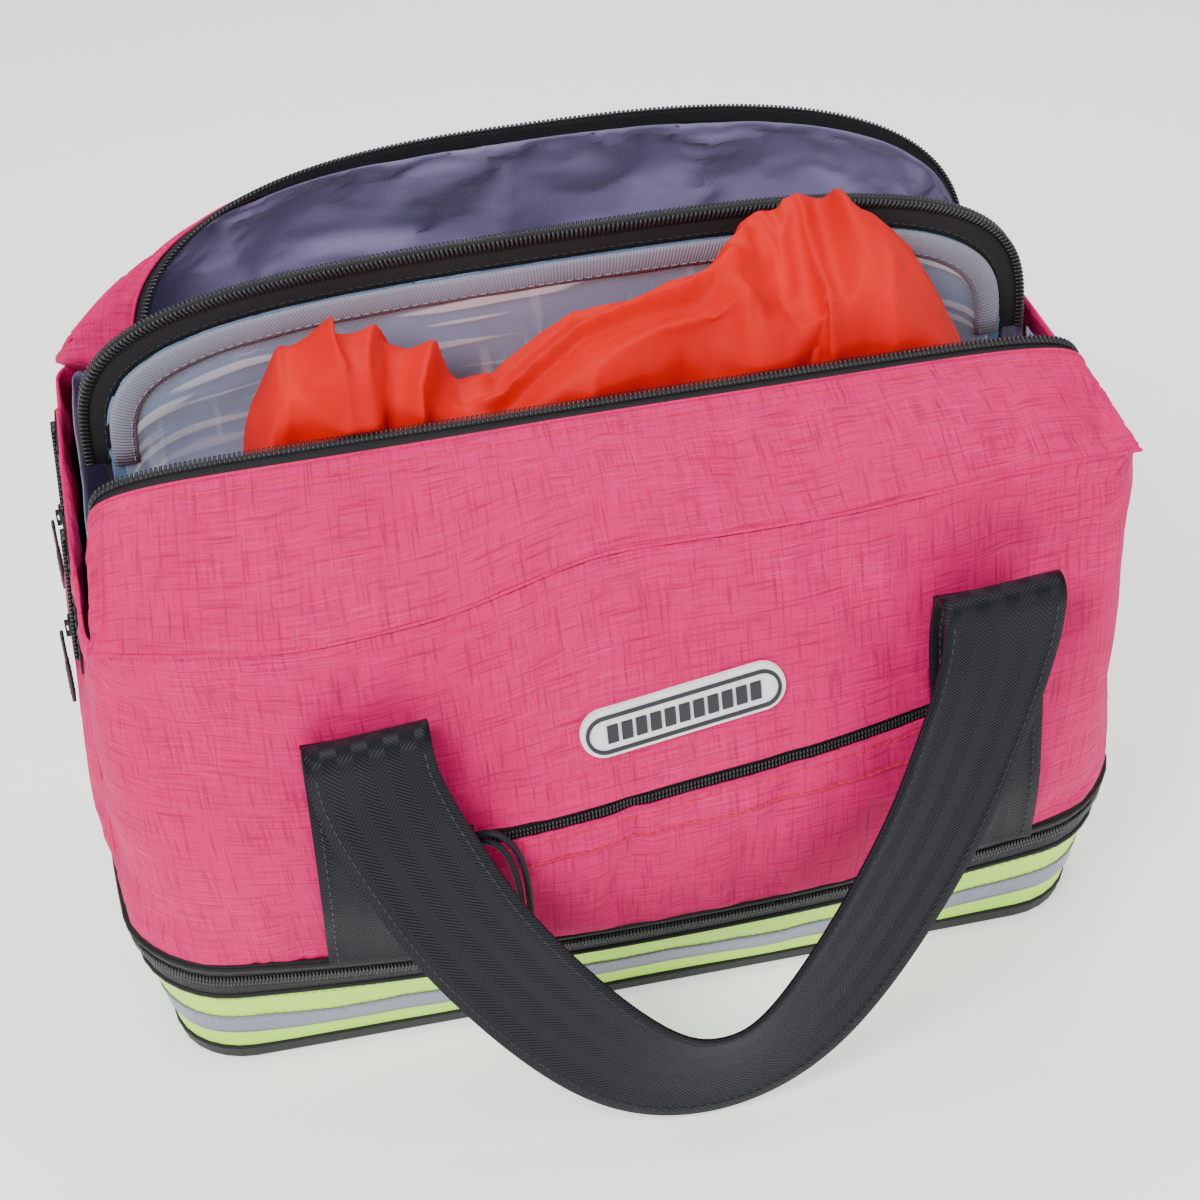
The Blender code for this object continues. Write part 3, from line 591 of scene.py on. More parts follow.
def rounded_table(places, values):
    """A table read with soft corners instead of kinks."""
    fine = np.linspace(places[0] - 0.05, places[-1] + 0.05, 161)
    window = np.hanning(21)
    padded = np.interp(np.linspace(places[0] - 0.08, places[-1] + 0.08, 181), places, values)
    return fine, np.convolve(padded, window / window.sum(), "valid")


SLUMP_FINE = rounded_table(SLUMP_AT, SLUMP)
swell_levels = np.linspace(-0.03, 0.33, 145)
smooth_window = np.hanning(25)
SWELL_FINE = (
    swell_levels[12:-12],
    np.convolve(np.interp(swell_levels, SWELL_AT, SWELL), smooth_window / smooth_window.sum(), "valid"),
)


def section(z):
    """Half length, half depth and corner radius of the outer face at one height."""
    return tuple(np.interp(z, LEVELS, table) for table in (HALF_LENGTH, HALF_DEPTH, CORNER))


def swell(points):
    """The filling's outward push."""
    points = np.array(points, float)
    flat = points.reshape(-1, 3)
    x, y, z = flat.T.copy()
    push = np.interp(z, *SWELL_FINE)
    along = np.clip(1 - (x / 0.222) ** 2, 0, 1) ** 0.9
    flat[:, 1] += np.sign(y) * along * np.clip(np.abs(y) / 0.1, 0, 1.2) ** 2 * push
    across = np.clip(1 - (y / 0.115) ** 2, 0, 1)
    flat[:, 0] += np.sign(x) * across * np.clip(np.abs(x) / 0.2, 0, 1.1) ** 4 * 0.2 * push
    return flat.reshape(points.shape)


def ease(value, low, high):
    """0 below low, 1 above high, and a smooth rise between."""
    share = np.clip((value - low) / (high - low), 0, 1)
    return share * share * (3 - 2 * share)


def settle(points):
    """The slump of the front seam towards its empty left corner."""
    points = np.array(points, float)
    flat = points.reshape(-1, 3)
    x, y, z = flat.T.copy()
    drop = np.interp(x, *SLUMP_FINE) * ease(-y, 0.052, 0.106) * ease(z, 0.09, 0.235)
    flat[:, 2] += drop
    flat[:, 1] += 0.30 * np.minimum(drop, 0)
    return flat.reshape(points.shape)


def side_path(z, out, y_stop, side, end_steps=9, arc_steps=8, long_steps=112):
    """Points from the left end face, round the front (side -1) or rear (1), to the right end face."""
    a, b, r = section(z)
    cx, cy = a - r, b - r
    points = [(-(a + out), y, z) for y in np.linspace(y_stop, side * cy, end_steps)[:-1]]
    for t in np.linspace(0, np.pi / 2, arc_steps):
        points.append((-cx - (r + out) * np.cos(t), side * (cy + (r + out) * np.sin(t)), z))
    points += [(x, side * (b + out), z) for x in np.linspace(-cx, cx, long_steps)[1:-1]]
    for t in np.linspace(np.pi / 2, 0, arc_steps):
        points.append((cx + (r + out) * np.cos(t), side * (cy + (r + out) * np.sin(t)), z))
    points += [(a + out, y, z) for y in np.linspace(side * cy, y_stop, end_steps)[1:]]
    return points


def loop_path(z, out):
    """The whole outline at one height."""
    front = side_path(z, out, 0.0, -1, end_steps=22)
    rear = side_path(z, out, 0.0, 1, end_steps=22)
    return front + list(reversed(rear))[1:-1]


print("slump at the left strap:", round(float(np.interp(-0.114, *SLUMP_FINE)) * 1000, 1), "mm")


# %% [markdown]
# ## From a grid of points to a sewn piece
# Every flat pattern piece is a grid of points: rows go up, columns go along. `sewn` gives a grid its
# thickness, its closed edges and its map in metres, and says which body it moves with, which finish slot
# it shows and which CAD solids it stands for.

# %% Grid to mesh
def grid_normals(grid, closed=False):
    """Unit normals of a grid of points."""
    if closed:
        wrapped = np.concatenate([grid[:, -2:], grid, grid[:, :2]], axis=1)
        along = np.gradient(wrapped, axis=1)[:, 2:-2]
    else:
        along = np.gradient(grid, axis=1)
    up_way = np.gradient(grid, axis=0)
    normal = np.cross(along, up_way)
    return normal / np.maximum(np.linalg.norm(normal, axis=2, keepdims=True), 1e-9)


def metric_map(grid, closed=False):
    """u along the columns and v up the rows, in metres."""
    steps = np.linalg.norm(np.diff(grid, axis=1), axis=2).mean(axis=0)
    u = np.concatenate([[0], np.cumsum(steps)])
    if closed:
        u = np.append(u, u[-1] + np.linalg.norm(grid[:, 0] - grid[:, -1], axis=1).mean())
    v = np.concatenate([[0], np.cumsum(np.linalg.norm(np.diff(grid, axis=0), axis=2).mean(axis=1))])
    return u, v


def mesh_object(name, points, faces, uvs, finish, smooth=True):
    """An object from points, faces and one (u, v) for each face corner."""
    mesh = bpy.data.meshes.new(name)
    mesh.from_pydata(np.asarray(points).tolist(), [], [tuple(int(i) for i in face) for face in faces])
    if uvs is not None:
        layer = mesh.uv_layers.new(name="cloth")
        layer.data.foreach_set("uv", np.asarray(uvs, np.float32).ravel())
    mesh.materials.append(finish)
    mesh.polygons.foreach_set("use_smooth", [smooth] * len(mesh.polygons))
    made = bpy.data.objects.new(name, mesh)
    bpy.context.scene.collection.objects.link(made)
    return made


def assign(piece, body, finish_slot, *nodes):
    """Say what a piece moves with, which slot it shows and which CAD solids it replaces."""
    if isinstance(body, str):
        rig.ride(piece, body)
    else:
        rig.blend(piece, *body)
    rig.slot(piece, finish_slot)
    if nodes:
        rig.replaces(piece, *nodes)
    return piece


def shell_mesh(name, grid, thickness, finish, closed=False, outward=1.0, turn_map=False):
    """A closed sheet: the grid is its outer face, and the inner face lies `thickness` below."""
    rows, cols = grid.shape[:2]
    normal = grid_normals(grid, closed) * outward
    inner = grid - normal * thickness
    points = np.concatenate([grid.reshape(-1, 3), inner.reshape(-1, 3)])
    half = rows * cols
    u, v = metric_map(grid, closed)
    faces, uvs = [], []

    def corner(i, j):
        return i * cols + j % cols

    def add(quad, corners):
        if outward < 0:
            quad, corners = quad[::-1], corners[::-1]
        faces.append(quad)
        uvs.extend((v[i], u[j]) if turn_map else (u[j], v[i]) for i, j in corners)

    last = cols if closed else cols - 1
    for i in range(rows - 1):
        for j in range(last):
            near = [(i, j), (i, j + 1), (i + 1, j + 1), (i + 1, j)]
            quad = [corner(*c) for c in near]
            add(quad, near)
            add([q + half for q in quad[::-1]], near[::-1])
    for i in (0, rows - 1):
        for j in range(last):
            ends = [(i, j), (i, j + 1), (i, j + 1), (i, j)]
            a, b = corner(i, j), corner(i, j + 1)
            quad = [a + half, b + half, b, a] if i == 0 else [a, b, b + half, a + half]
            add(quad, ends)
    if not closed:
        for j in (0, cols - 1):
            for i in range(rows - 1):
                ends = [(i, j), (i + 1, j), (i + 1, j), (i, j)]
                a, b = corner(i, j), corner(i + 1, j)
                quad = [a, b, b + half, a + half] if j == 0 else [a + half, b + half, b, a]
                add(quad, ends)
    return mesh_object(name, points, faces, uvs, finish)


def sewn(name, grid, thickness, finish, body, finish_slot, nodes=(), **options):
    """A sheet that rides on a body and replaces its CAD solids."""
    piece = shell_mesh(name, grid, thickness, finish, **options)
    return assign(piece, body, finish_slot, *nodes)


# %% [markdown]
# Real cloth is never a perfect loft: it is a little larger than the frame it is sewn into, so it puckers
# along seams and billows between them. A short cloth simulation gives that. The edges are pinned, each
# thread grows by a percent or two, and a little pressure pushes the slack outwards. How far a point may
# move is capped, so that a panel never leaves the space that the CAD keeps for it.

# %% Cloth relaxation
def relax(grid, growth, pressure, cap, frames=22, pins=None, bending=0.4, closed=False, inward=3.0 * MM):
    """The grid after its threads grow by `growth`, pinned where `pins` is 1."""
    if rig.quick():
        return grid
    rows, cols = grid.shape[:2]
    if pins is None:
        pins = np.zeros((rows, cols))
        pins[0], pins[-1] = 1, 1
        if not closed:
            pins[:, 0], pins[:, -1] = 1, 1
    faces = []
    for i in range(rows - 1):
        for j in range(cols if closed else cols - 1):
            k = (j + 1) % cols
            faces.append((i * cols + j, i * cols + k, (i + 1) * cols + k, (i + 1) * cols + j))
    trial = mesh_object("trial_cloth", grid.reshape(-1, 3), faces, None, pink)
    group = trial.vertex_groups.new(name="pins")
    for index, weight in enumerate(np.asarray(pins).ravel()):
        if weight > 0:
            group.add([index], float(weight), "REPLACE")
    cloth = trial.modifiers.new("cloth", "CLOTH")
    facts = cloth.settings
    facts.quality, facts.mass, facts.air_damping = 6, 0.15, 3.0
    facts.tension_stiffness = facts.compression_stiffness = 12.0
    facts.shear_stiffness, facts.bending_stiffness = 4.0, bending
    facts.shrink_min = -growth
    facts.vertex_group_mass = "pins"
    facts.effector_weights.gravity = 0.0
    facts.use_pressure = pressure != 0
    facts.uniform_pressure_force = pressure
    cloth.collision_settings.use_collision = False
    cloth.point_cache.frame_start, cloth.point_cache.frame_end = 1, frames + 2
    for frame_number in range(1, frames + 1):
        bpy.context.scene.frame_set(frame_number)
    evaluated = trial.evaluated_get(bpy.context.evaluated_depsgraph_get())
    co = np.empty(rows * cols * 3)
    evaluated.data.vertices.foreach_get("co", co)
    moved = co.reshape(rows, cols, 3) - grid
    data = trial.data
    bpy.data.objects.remove(trial, do_unlink=True)
    bpy.data.meshes.remove(data)
    bpy.context.scene.frame_set(1)
    length = np.linalg.norm(moved, axis=2, keepdims=True)
    moved *= np.minimum(1, cap / np.maximum(length, 1e-9))
    normal = grid_normals(grid, closed)
    depth = (moved * normal).sum(axis=2, keepdims=True)
    return grid + moved + normal * (np.maximum(depth, -inward) - depth)


def soft_noise(points, scale, seed):
    """Smooth noise from -1 to 1 at each point of a grid, with a different scale along each axis."""
    flat = np.asarray(points, float).reshape(-1, 3) / np.array(scale) + seed
    values = np.array([noise.noise(Vector(p)) for p in flat])
    return values.reshape(np.asarray(points).shape[:-1])


# %% Stitches
def stitches(name, line, normals, finish, length=3.0 * MM, gap=1.1 * MM, width=0.55 * MM, lift=0.35 * MM):
    """A row of thread dashes along a line of points that lies on cloth."""
    line, normals = np.asarray(line, float), np.asarray(normals, float)
    along = np.concatenate([[0], np.cumsum(np.linalg.norm(np.diff(line, axis=0), axis=1))])
    points, faces, uvs = [], [], []
    for start in np.arange(gap, along[-1] - length, length + gap):
        row = []
        for share, size in ((0.0, 0.35), (0.25, 1.0), (0.75, 1.0), (1.0, 0.35)):
            s = start + share * length
            centre = np.array([np.interp(s, along, line[:, k]) for k in range(3)])
            normal = np.array([np.interp(s, along, normals[:, k]) for k in range(3)])
            ahead = np.array([np.interp(s + 0.5 * MM, along, line[:, k]) for k in range(3)])
            direction = ahead - centre + 1e-12
            side = np.cross(normal, direction)
            side /= max(np.linalg.norm(side), 1e-9)
            half = width / 2 * size
            top = lift * (0.25 if size < 1 else 1.0)
            row.append([centre - half * side, centre + top * normal, centre + half * side, centre - 0.3 * MM * normal])
        first = len(points)
        for ring in row:
            points.extend(ring)
        for i in range(3):
            for k in range(4):
                a, b = first + i * 4 + k, first + i * 4 + (k + 1) % 4
                faces.append((a, b, b + 4, a + 4))
                uvs.extend([(0, 0), (width, 0), (width, length), (0, length)])
        faces.append((first + 3, first + 2, first + 1, first))
        faces.append((first + 12, first + 13, first + 14, first + 15))
        uvs.extend([(0, 0), (width, 0), (width, width), (0, width)] * 2)
    return mesh_object(name, points, faces, uvs, finish)


def along_grid(grid, row=None, column=None, closed=False, outward=1.0):
    """A line on a grid and its normals: a row or a column, which may be a fraction."""
    normal = grid_normals(grid, closed) * outward
    lines = []
    for source in (grid, normal):
        if row is not None:
            low = int(np.floor(row))
            share = row - low
            lines.append(source[low] * (1 - share) + source[min(low + 1, len(source) - 1)] * share)
        else:
            low = int(np.floor(column))
            share = column - low
            high = min(low + 1, source.shape[1] - 1)
            lines.append(source[:, low] * (1 - share) + source[:, high] * share)
    return lines


# %% [markdown]
# ## The four outer panels
# The wall of the bag is four pattern pieces: the front and the rear wrap round the corners, and a flat
# panel closes each end. They start at the base zip and stop at the upper seam. Each is lofted on the same
# section, then relaxed, so that the seams stay where they are and the cloth between them billows.

# %% Outer panels
SEAM_Z = 246.0 * MM
UPPER_START = 72.6 * MM
END_SEAM_Y = 64.0 * MM
CLOTH = 1.2 * MM
wall_levels = np.linspace(UPPER_START, SEAM_Z + 0.4 * MM, 50)


def crumple(grid, amount, scale, seed, keep_rows=3, keep_cols=0):
    """Push a grid in and out along its normals by smooth noise that dies out at its sewn edges."""
    rows, cols = grid.shape[:2]
    fade = np.ones((rows, cols))
    ramp = np.clip(np.arange(rows) / max(keep_rows, 1), 0, 1)
    fade *= np.minimum(ramp, ramp[::-1])[:, None]
    if keep_cols:
        ramp = np.clip(np.arange(cols) / keep_cols, 0, 1)
        fade *= np.minimum(ramp, ramp[::-1])[None]
    return grid + grid_normals(grid) * (amount * fade * soft_noise(grid, scale, seed))[..., None]


def outer_panel(side, y_stop, seed):
    """The front or the rear panel as a relaxed grid, its columns running so that normals face out."""
    rows = [side_path(z, 0.0, y_stop, side) for z in wall_levels]
    grid = settle(swell(np.array(rows)))
    grid = grid if side < 0 else grid[:, ::-1]
    grid = crumple(grid, 2.2 * MM, (0.075, 0.075, 0.05), seed, 6, 3)
    return relax(grid, 0.016, 0.35, 5.0 * MM)


front_wall = outer_panel(-1, -END_SEAM_Y, 3.1)
rear_wall = outer_panel(1, END_SEAM_Y + 1.5 * MM, 8.7)
sewn("front_shell", front_wall, CLOTH, pink, "upper_bag", "pink_polyester", ["front_panel"])
sewn("rear_shell", rear_wall, CLOTH, pink, "upper_bag", "pink_polyester", ["rear_panel"])


def end_panel(side):
    """One flat end panel."""
    ys = np.linspace(-END_SEAM_Y + 0.3 * MM, END_SEAM_Y + 1.1 * MM, 40)
    rows = []
    for z in wall_levels:
        length, _, _ = section(z)
        rows.append([(side * length, y, z) for y in ys])
    grid = settle(swell(np.array(rows)))
    grid = grid if side > 0 else grid[:, ::-1]
    grid = crumple(grid, 2.0 * MM, (0.05, 0.05, 0.05), 5.3 + side, 6, 3)
    return relax(grid, 0.02, 0.0, 4.0 * MM)


left_wall, right_wall = end_panel(-1), end_panel(1)
sewn("left_end_shell", left_wall, CLOTH, pink, "upper_bag", "pink_polyester", ["left_end_panel"])
sewn("right_end_shell", right_wall, CLOTH, pink, "upper_bag", "pink_polyester", ["right_end_panel"])
print("front panel:", front_wall.shape[0] * front_wall.shape[1], "points,", round(float(front_wall[:, :, 1].min()), 4))


# %% [markdown]
# The panels meet at vertical end seams, which show as a thin rolled ridge.
# The ridge is a small tube that follows the panel's own edge, so it can never lift off the cloth.

# %% Seam ridges
def tube_mesh(name, route, radius, finish, sides=8, squash=1.0, cap=True):
    """A tube along a route, mapped in metres round and along."""
    route = np.asarray(route, float)
    tangent = np.gradient(route, axis=0)
    tangent /= np.maximum(np.linalg.norm(tangent, axis=1, keepdims=True), 1e-12)
    frame_side = np.cross(tangent[0], (0.31, 0.92, 0.24))
    frame_side /= np.linalg.norm(frame_side)
    radii = np.broadcast_to(radius, (len(route),))
    points, faces, uvs = [], [], []
    along = np.concatenate([[0], np.cumsum(np.linalg.norm(np.diff(route, axis=0), axis=1))])
    for p, t, r in zip(route, tangent, radii):
        frame_side = frame_side - t * np.dot(frame_side, t)
        frame_side /= np.linalg.norm(frame_side)
        other = np.cross(t, frame_side)
        for angle in np.linspace(0, 2 * np.pi, sides, endpoint=False):
            points.append(p + r * (np.cos(angle) * frame_side + squash * np.sin(angle) * other))
    for i in range(len(route) - 1):
        for k in range(sides):
            m = (k + 1) % sides
            a, b = i * sides + k, i * sides + m
            faces.append((a, b, b + sides, a + sides))
            girth = 2 * np.pi * radii[i] / sides
            uvs.extend([(k * girth, along[i]), ((k + 1) * girth, along[i])])
            uvs.extend([((k + 1) * girth, along[i + 1]), (k * girth, along[i + 1])])
    if cap:
        faces.append(tuple(reversed(range(sides))))
        faces.append(tuple(range(len(points) - sides, len(points))))
        uvs.extend([(0, 0)] * (2 * sides))
    return mesh_object(name, points, faces, uvs, finish)


for hand, grid, column in (("left", front_wall, 0), ("right", front_wall, -1)):
    for face, source, index in (("front", front_wall, column), ("rear", rear_wall, -1 - column)):
        ridge = tube_mesh(f"{face}_{hand}_end_seam", source[:, index], 0.9 * MM, pink)
        assign(ridge, "upper_bag", "pink_polyester")
print("end seams: 4 ridges")


# %% [markdown]
# ## The two top flaps
# Each half of the top is a curved panel sewn to the wall at its long seam and ending in a zip rim that
# stands open in an arch. The panel, its lining, the zip tape and the teeth are all strips of one surface
# with two directions: u runs along the bag and v from the seam to the rim. When a flap folds back, its
# ends stay sewn to the end panels, so every strip bends between the two bodies instead of riding on one.

# %% Flap surfaces
RIM_FOOT = 246.8 * MM


def arch(u, power):
    """Height share of a rim at a share u of its reach."""
    return np.clip(1 - np.abs(u) ** power, 0, 1) ** (1 / power)


def front_top(u, v):
    """The front flap, v from 0 at the seam to 1 at the rim."""
    lean = 4 * MM * np.clip(1 - u * u, 0, 1) * (1 - v)
    rise = 37 * MM * v**0.85 * arch(u, 8.0)
    return np.stack([(213 - 8 * v) * MM * u, -107 * MM - lean + 54 * MM * v, RIM_FOOT + rise], axis=-1)


def rear_top(u, v):
    """The rear flap, v from 0 at the seam to 1 at the rim."""
    bow = (10 * MM * np.sin(np.pi * v) + 4 * MM * (1 - v)) * np.clip(1 - u * u, 0, 1)
    y = 107 * MM + bow - 30 * MM * v**1.4
    slack = np.where(u > 0, 13 * v, 40 * v**2)
    power = 2.7 + np.where(u > 0, 0.0, 2.6 * (1 - v))
    return np.stack([(213 - slack) * MM * u, y, RIM_FOOT + 99 * MM * v * arch(u, power)], axis=-1)


def crowded(count):
    """Shares from -1 to 1 that crowd towards both ends, where a rim turns down."""
    t = np.linspace(-1, 1, count)
    return np.sign(t) * (1 - (1 - np.abs(t)) ** 2.0)


def strip(surface, us, vs, out=0.0):
    """A grid on a surface(u, v), set off along its normal."""
    grid = np.array([surface(us, np.full(len(us), v)) for v in vs])
    return grid + out * grid_normals(grid) if out else grid


FLAPS = {
    "front": dict(
        surface=front_top, width=66 * MM, turn=1, lining=main_lining_cloth, slot="blue_grey_lining",
        body=("upper_bag", "front_flap", (0, 0, 0.2495), (0, 0, 0.274)),
    ),
    "rear": dict(
        surface=rear_top, width=105 * MM, turn=-1, lining=rear_lining_cloth, slot="lavender_lining",
        body=("upper_bag", "rear_flap", (0, 0, 0.2495), (0, 0, 0.292)),
    ),
}


# %% [markdown]
# A zip is two rows of small teeth at the edges of two tapes. Each tooth is a tapered bar across the
# edge, rounded over at its tip, and the pitch is about 2 mm, as on a size 8 coil. The same builder makes
# every zip on the bag from a line, the direction that points off the cloth, and the direction across it.

# %% Zip teeth
def zip_teeth(name, line, normals, across, pitch=1.95 * MM, size=(1.25 * MM, 4.2 * MM, 2.3 * MM)):
    """A row of teeth along a line; `across` points from the tape towards the free edge."""
    line, normals, across = (np.asarray(a, float) for a in (line, normals, across))
    along = np.concatenate([[0], np.cumsum(np.linalg.norm(np.diff(line, axis=0), axis=1))])
    spots = np.arange(pitch / 2, along[-1], pitch)
    at = lambda table: np.stack([np.interp(spots, along, table[:, k]) for k in range(3)], axis=1)
    centre, normal, reach = at(line), at(normals), at(across)
    ahead = np.gradient(centre, axis=0)
    for table in (normal, reach, ahead):
        table /= np.maximum(np.linalg.norm(table, axis=1, keepdims=True), 1e-9)
    long, wide, thick = size
    ring = [(-0.5, 0.34), (-0.28, 0.5), (0.22, 0.5), (0.5, 0.3)]
    ring += [(0.5, -0.3), (0.22, -0.5), (-0.28, -0.5), (-0.5, -0.34)]
    points, faces, uvs = [], [], []
    for c, n, r, a in zip(centre, normal, reach, ahead):
        first = len(points)
        for end, shrink in ((-0.5, 0.72), (-0.3, 1.0), (0.3, 1.0), (0.5, 0.72)):
            for w, t in ring:
                points.append(c + a * end * long + r * w * wide * (0.5 + 0.5 * shrink) + n * t * thick * shrink)
        for k in range(3):
            for m in range(8):
                p, q = first + k * 8 + m, first + k * 8 + (m + 1) % 8
                faces.append((p, q, q + 8, p + 8))
                uvs.extend([(0, 0), (wide, 0), (wide, long), (0, long)])
        faces.append(tuple(first + m for m in reversed(range(8))))
        faces.append(tuple(first + 24 + m for m in range(8)))
        uvs.extend([(0, 0)] * 16)
    return mesh_object(name, points, faces, uvs, coil_plastic)


# %% Panels, tapes, teeth and linings of both flaps
flap_grids = {}
END_TRIM = 9  # columns of lining left off at each end, where the rim turns down
for name, facts in FLAPS.items():
    surface, width, turn = facts["surface"], facts["width"], facts["turn"]
    edge = 1 - 8.5 * MM / width
    us = crowded(150)
    panel = settle(strip(surface, us, np.linspace(0, edge, 30 if turn > 0 else 42)))
    rows, cols = panel.shape[:2]
    pins = np.zeros((rows, cols))
    pins[0] = pins[:, 0] = pins[:, -1] = 1
    pins[-4:] = 1
    out_grid = panel if turn > 0 else panel[:, ::-1]
    out_grid = crumple(out_grid, (2.6 if turn > 0 else 3.4) * MM, (0.06, 0.05, 0.05), 2.2 + turn, 5, 14)
    out_grid = relax(out_grid, 0.02, 0.3, 5.0 * MM, pins=pins if turn > 0 else pins[:, ::-1])
    flap_grids[name] = out_grid
    nodes = [f"{name}_flap_panel"]
    sewn(f"{name}_flap_shell", out_grid, CLOTH, pink, facts["body"], "pink_polyester", nodes)
    panel_out = out_grid if turn > 0 else out_grid[:, ::-1]

    # The strip beyond the panel starts from the relaxed panel's own edge, so the two never part.
    ideal = settle(strip(surface, us, [edge]))[0]
    shift = panel_out[-1] - ideal
    normal_in = grid_normals(panel_out)[-1] * turn
    vs = np.linspace(edge - 4.0 * MM / width, 1 - 2.0 * MM / width, 6)
    tape = settle(strip(surface, us, vs)) + shift - 1.3 * MM * normal_in
    tape_grid = tape if turn > 0 else tape[:, ::-1]
    sewn(f"{name}_rim_tape", tape_grid, 0.8 * MM, zip_tape, facts["body"], "zip_tape", [f"{name}_zip_tape"])
    rim = settle(strip(surface, us, [1 - 4.6 * MM / width, 1.0])) + shift - 0.9 * MM * normal_in
    across = rim[1] - rim[0]
    middle = rim.mean(axis=0)
    teeth = zip_teeth(f"{name}_rim_teeth", middle, normal_in, across)
    assign(teeth, facts["body"], "zip_coil", f"{name}_zip_chain")
    core = tube_mesh(f"{name}_rim_cord", middle - 0.2 * across, 1.15 * MM, zip_tape)
    assign(core, facts["body"], "zip_tape")

    # A rolled hem and one row of thread hold the tape.
    row = rows - 1
    line, normals = along_grid(out_grid, row=row)
    hem = tube_mesh(f"{name}_rim_hem", line - 0.3 * MM * normals, 0.85 * MM, pink)
    assign(hem, facts["body"], "pink_polyester")
    step = np.linalg.norm(out_grid[-1, cols // 2] - out_grid[-2, cols // 2])
    line, normals = along_grid(out_grid, row=row - 5.5 * MM / step)
    thread = stitches(f"{name}_rim_thread", line, normals, thread_red if turn > 0 else thread_pink)
    assign(thread, facts["body"], "pink_polyester")

    # The lining hangs a little free of the panel and gathers into soft upright folds.
    kept = slice(END_TRIM, -END_TRIM)
    inner = out_grid[2:-1, kept]
    folds = np.sin(np.arange(cols - 2 * END_TRIM) * 0.42 + 3 * soft_noise(inner, (0.05, 1, 0.09), 4.4))
    fade = np.sin(np.pi * np.linspace(0.04, 0.97, len(inner)))[:, None] * (1 - us[None, kept] ** 8)
    slack = (3.2 * MM + 1.6 * MM * folds * (turn < 0)) * fade + 2.5 * MM
    # The offset follows the flat panel's normals, because the crowded end columns of the soft one can cross.
    flat_normals = grid_normals(panel if turn > 0 else panel[:, ::-1])[2:-1, kept]
    inner = inner - flat_normals * slack[..., None]
    loose = relax(inner[:, ::-1], 0.03 if turn < 0 else 0.015, 0.0, 3.0 * MM, inward=0.3 * MM)
    lining_grid = inner[:, ::-1] + (loose - inner[:, ::-1]) * (1 - us[None, kept, None] ** 6)
    piece = [f"{name}_flap_lining"]
    sewn(f"{name}_flap_inner", lining_grid, 0.5 * MM, facts["lining"], facts["body"], facts["slot"], piece)
print("flaps:", {name: grid.shape[:2] for name, grid in flap_grids.items()})

# %% [markdown]
# The long seam where a flap meets the wall is a plain joined seam: a low ridge.

# %% Long seams
for name in ("front", "rear"):
    grid = flap_grids[name]
    line, normals = along_grid(grid, row=0)
    ridge = tube_mesh(f"{name}_long_seam", line, 0.8 * MM, pink)
    assign(ridge, "upper_bag", "pink_polyester")
for side, grid in ((-1, left_wall), (1, right_wall)):
    hand = "left" if side < 0 else "right"
    ridge = tube_mesh(f"{hand}_end_top_seam", grid[-1], 0.8 * MM, pink)
    assign(ridge, "upper_bag", "pink_polyester")


# %% [markdown]
# ## The divider
# A stiffened wall splits the bag along its length. A two-way zip tape crowns it, with teeth on both
# faces, so that each flap can close on to it. On its front face a clear vinyl pocket hangs under a pale
# grosgrain binding.

# %% Divider sheets
DIVIDER_Y = 17.0 * MM
FLOOR_Z = 75.0 * MM


def divider_curve(us, inset):
    """The rim of the divider, moved inwards by `inset`."""
    height = RIM_FOOT + (77 * MM - inset) * arch(us, 3.6)
    return np.stack([(206 * MM - inset) * us, np.full(len(us), DIVIDER_Y), height], axis=-1)


def divider_bend(points):
    """The divider bows a little instead of standing dead flat."""
    points = np.array(points, float)
    x, z = points[..., 0], points[..., 2]
    points[..., 1] += 1.4 * MM * np.sin(17 * x + 0.8) * ease(z, 0.12, 0.31)
    return points


def divider_sheet(us, low, inset, rows, out):
    """A grid from a level up to the rim, offset to one side of the divider."""
    top = divider_curve(us, inset)
    shares = np.linspace(0, 1, rows)
    grid = np.array([top * (1, 1, 0) + (0, 0, low) + share * (top - low) * (0, 0, 1) for share in shares])
    grid = divider_bend(grid)
    grid[..., 1] -= out
    return grid


us = crowded(130)
for face, side, cloth, finish_slot in (
    ("front", 1, main_lining_cloth, "blue_grey_lining"),
    ("rear", -1, rear_lining_cloth, "lavender_lining"),
):
    grid = divider_sheet(us, FLOOR_Z + 2.5 * MM, 11.5 * MM, 44, side * 2.0 * MM)
    grid = crumple(grid if side > 0 else grid[:, ::-1], 1.1 * MM, (0.04, 0.04, 0.03), 6.1 * side, 9, 9)
    grid = relax(grid, 0.012, 0.0, 1.4 * MM, inward=0.3 * MM)
    node = f"divider_{face}_lining"
    sewn(f"divider_{face}_cloth", grid, 0.5 * MM, cloth, "upper_bag", finish_slot, [node])
    bands = np.array([divider_bend(divider_curve(us, inset)) for inset in np.linspace(13, 2.5, 6) * MM])
    bands[..., 1] -= side * 2.5 * MM
    bands = bands if side > 0 else bands[:, ::-1]
    nodes = [f"divider_zip_tape_{face}"]
    sewn(f"divider_{face}_rim_tape", bands, 0.8 * MM, zip_tape, "upper_bag", "zip_tape", nodes)
    rim = np.array([divider_bend(divider_curve(us, inset)) for inset in (4.6 * MM, 0.0)])
    rim[..., 1] -= side * 2.9 * MM
    normal = np.tile((0.0, -float(side), 0.0), (len(us), 1))
    teeth = zip_teeth(f"divider_{face}_teeth", rim.mean(axis=0), normal, rim[1] - rim[0])
    assign(teeth, "upper_bag", "zip_coil", f"divider_zip_chain_{face}")
    line = divider_bend(divider_curve(us, 11.0 * MM)) - (0, side * 2.7 * MM, 0)
    thread = stitches(f"divider_{face}_thread", line, normal, thread_black)
    assign(thread, "upper_bag", "zip_tape")
board = divider_sheet(us, FLOOR_Z + 2.5 * MM, 9 * MM, 40, 0.8 * MM)
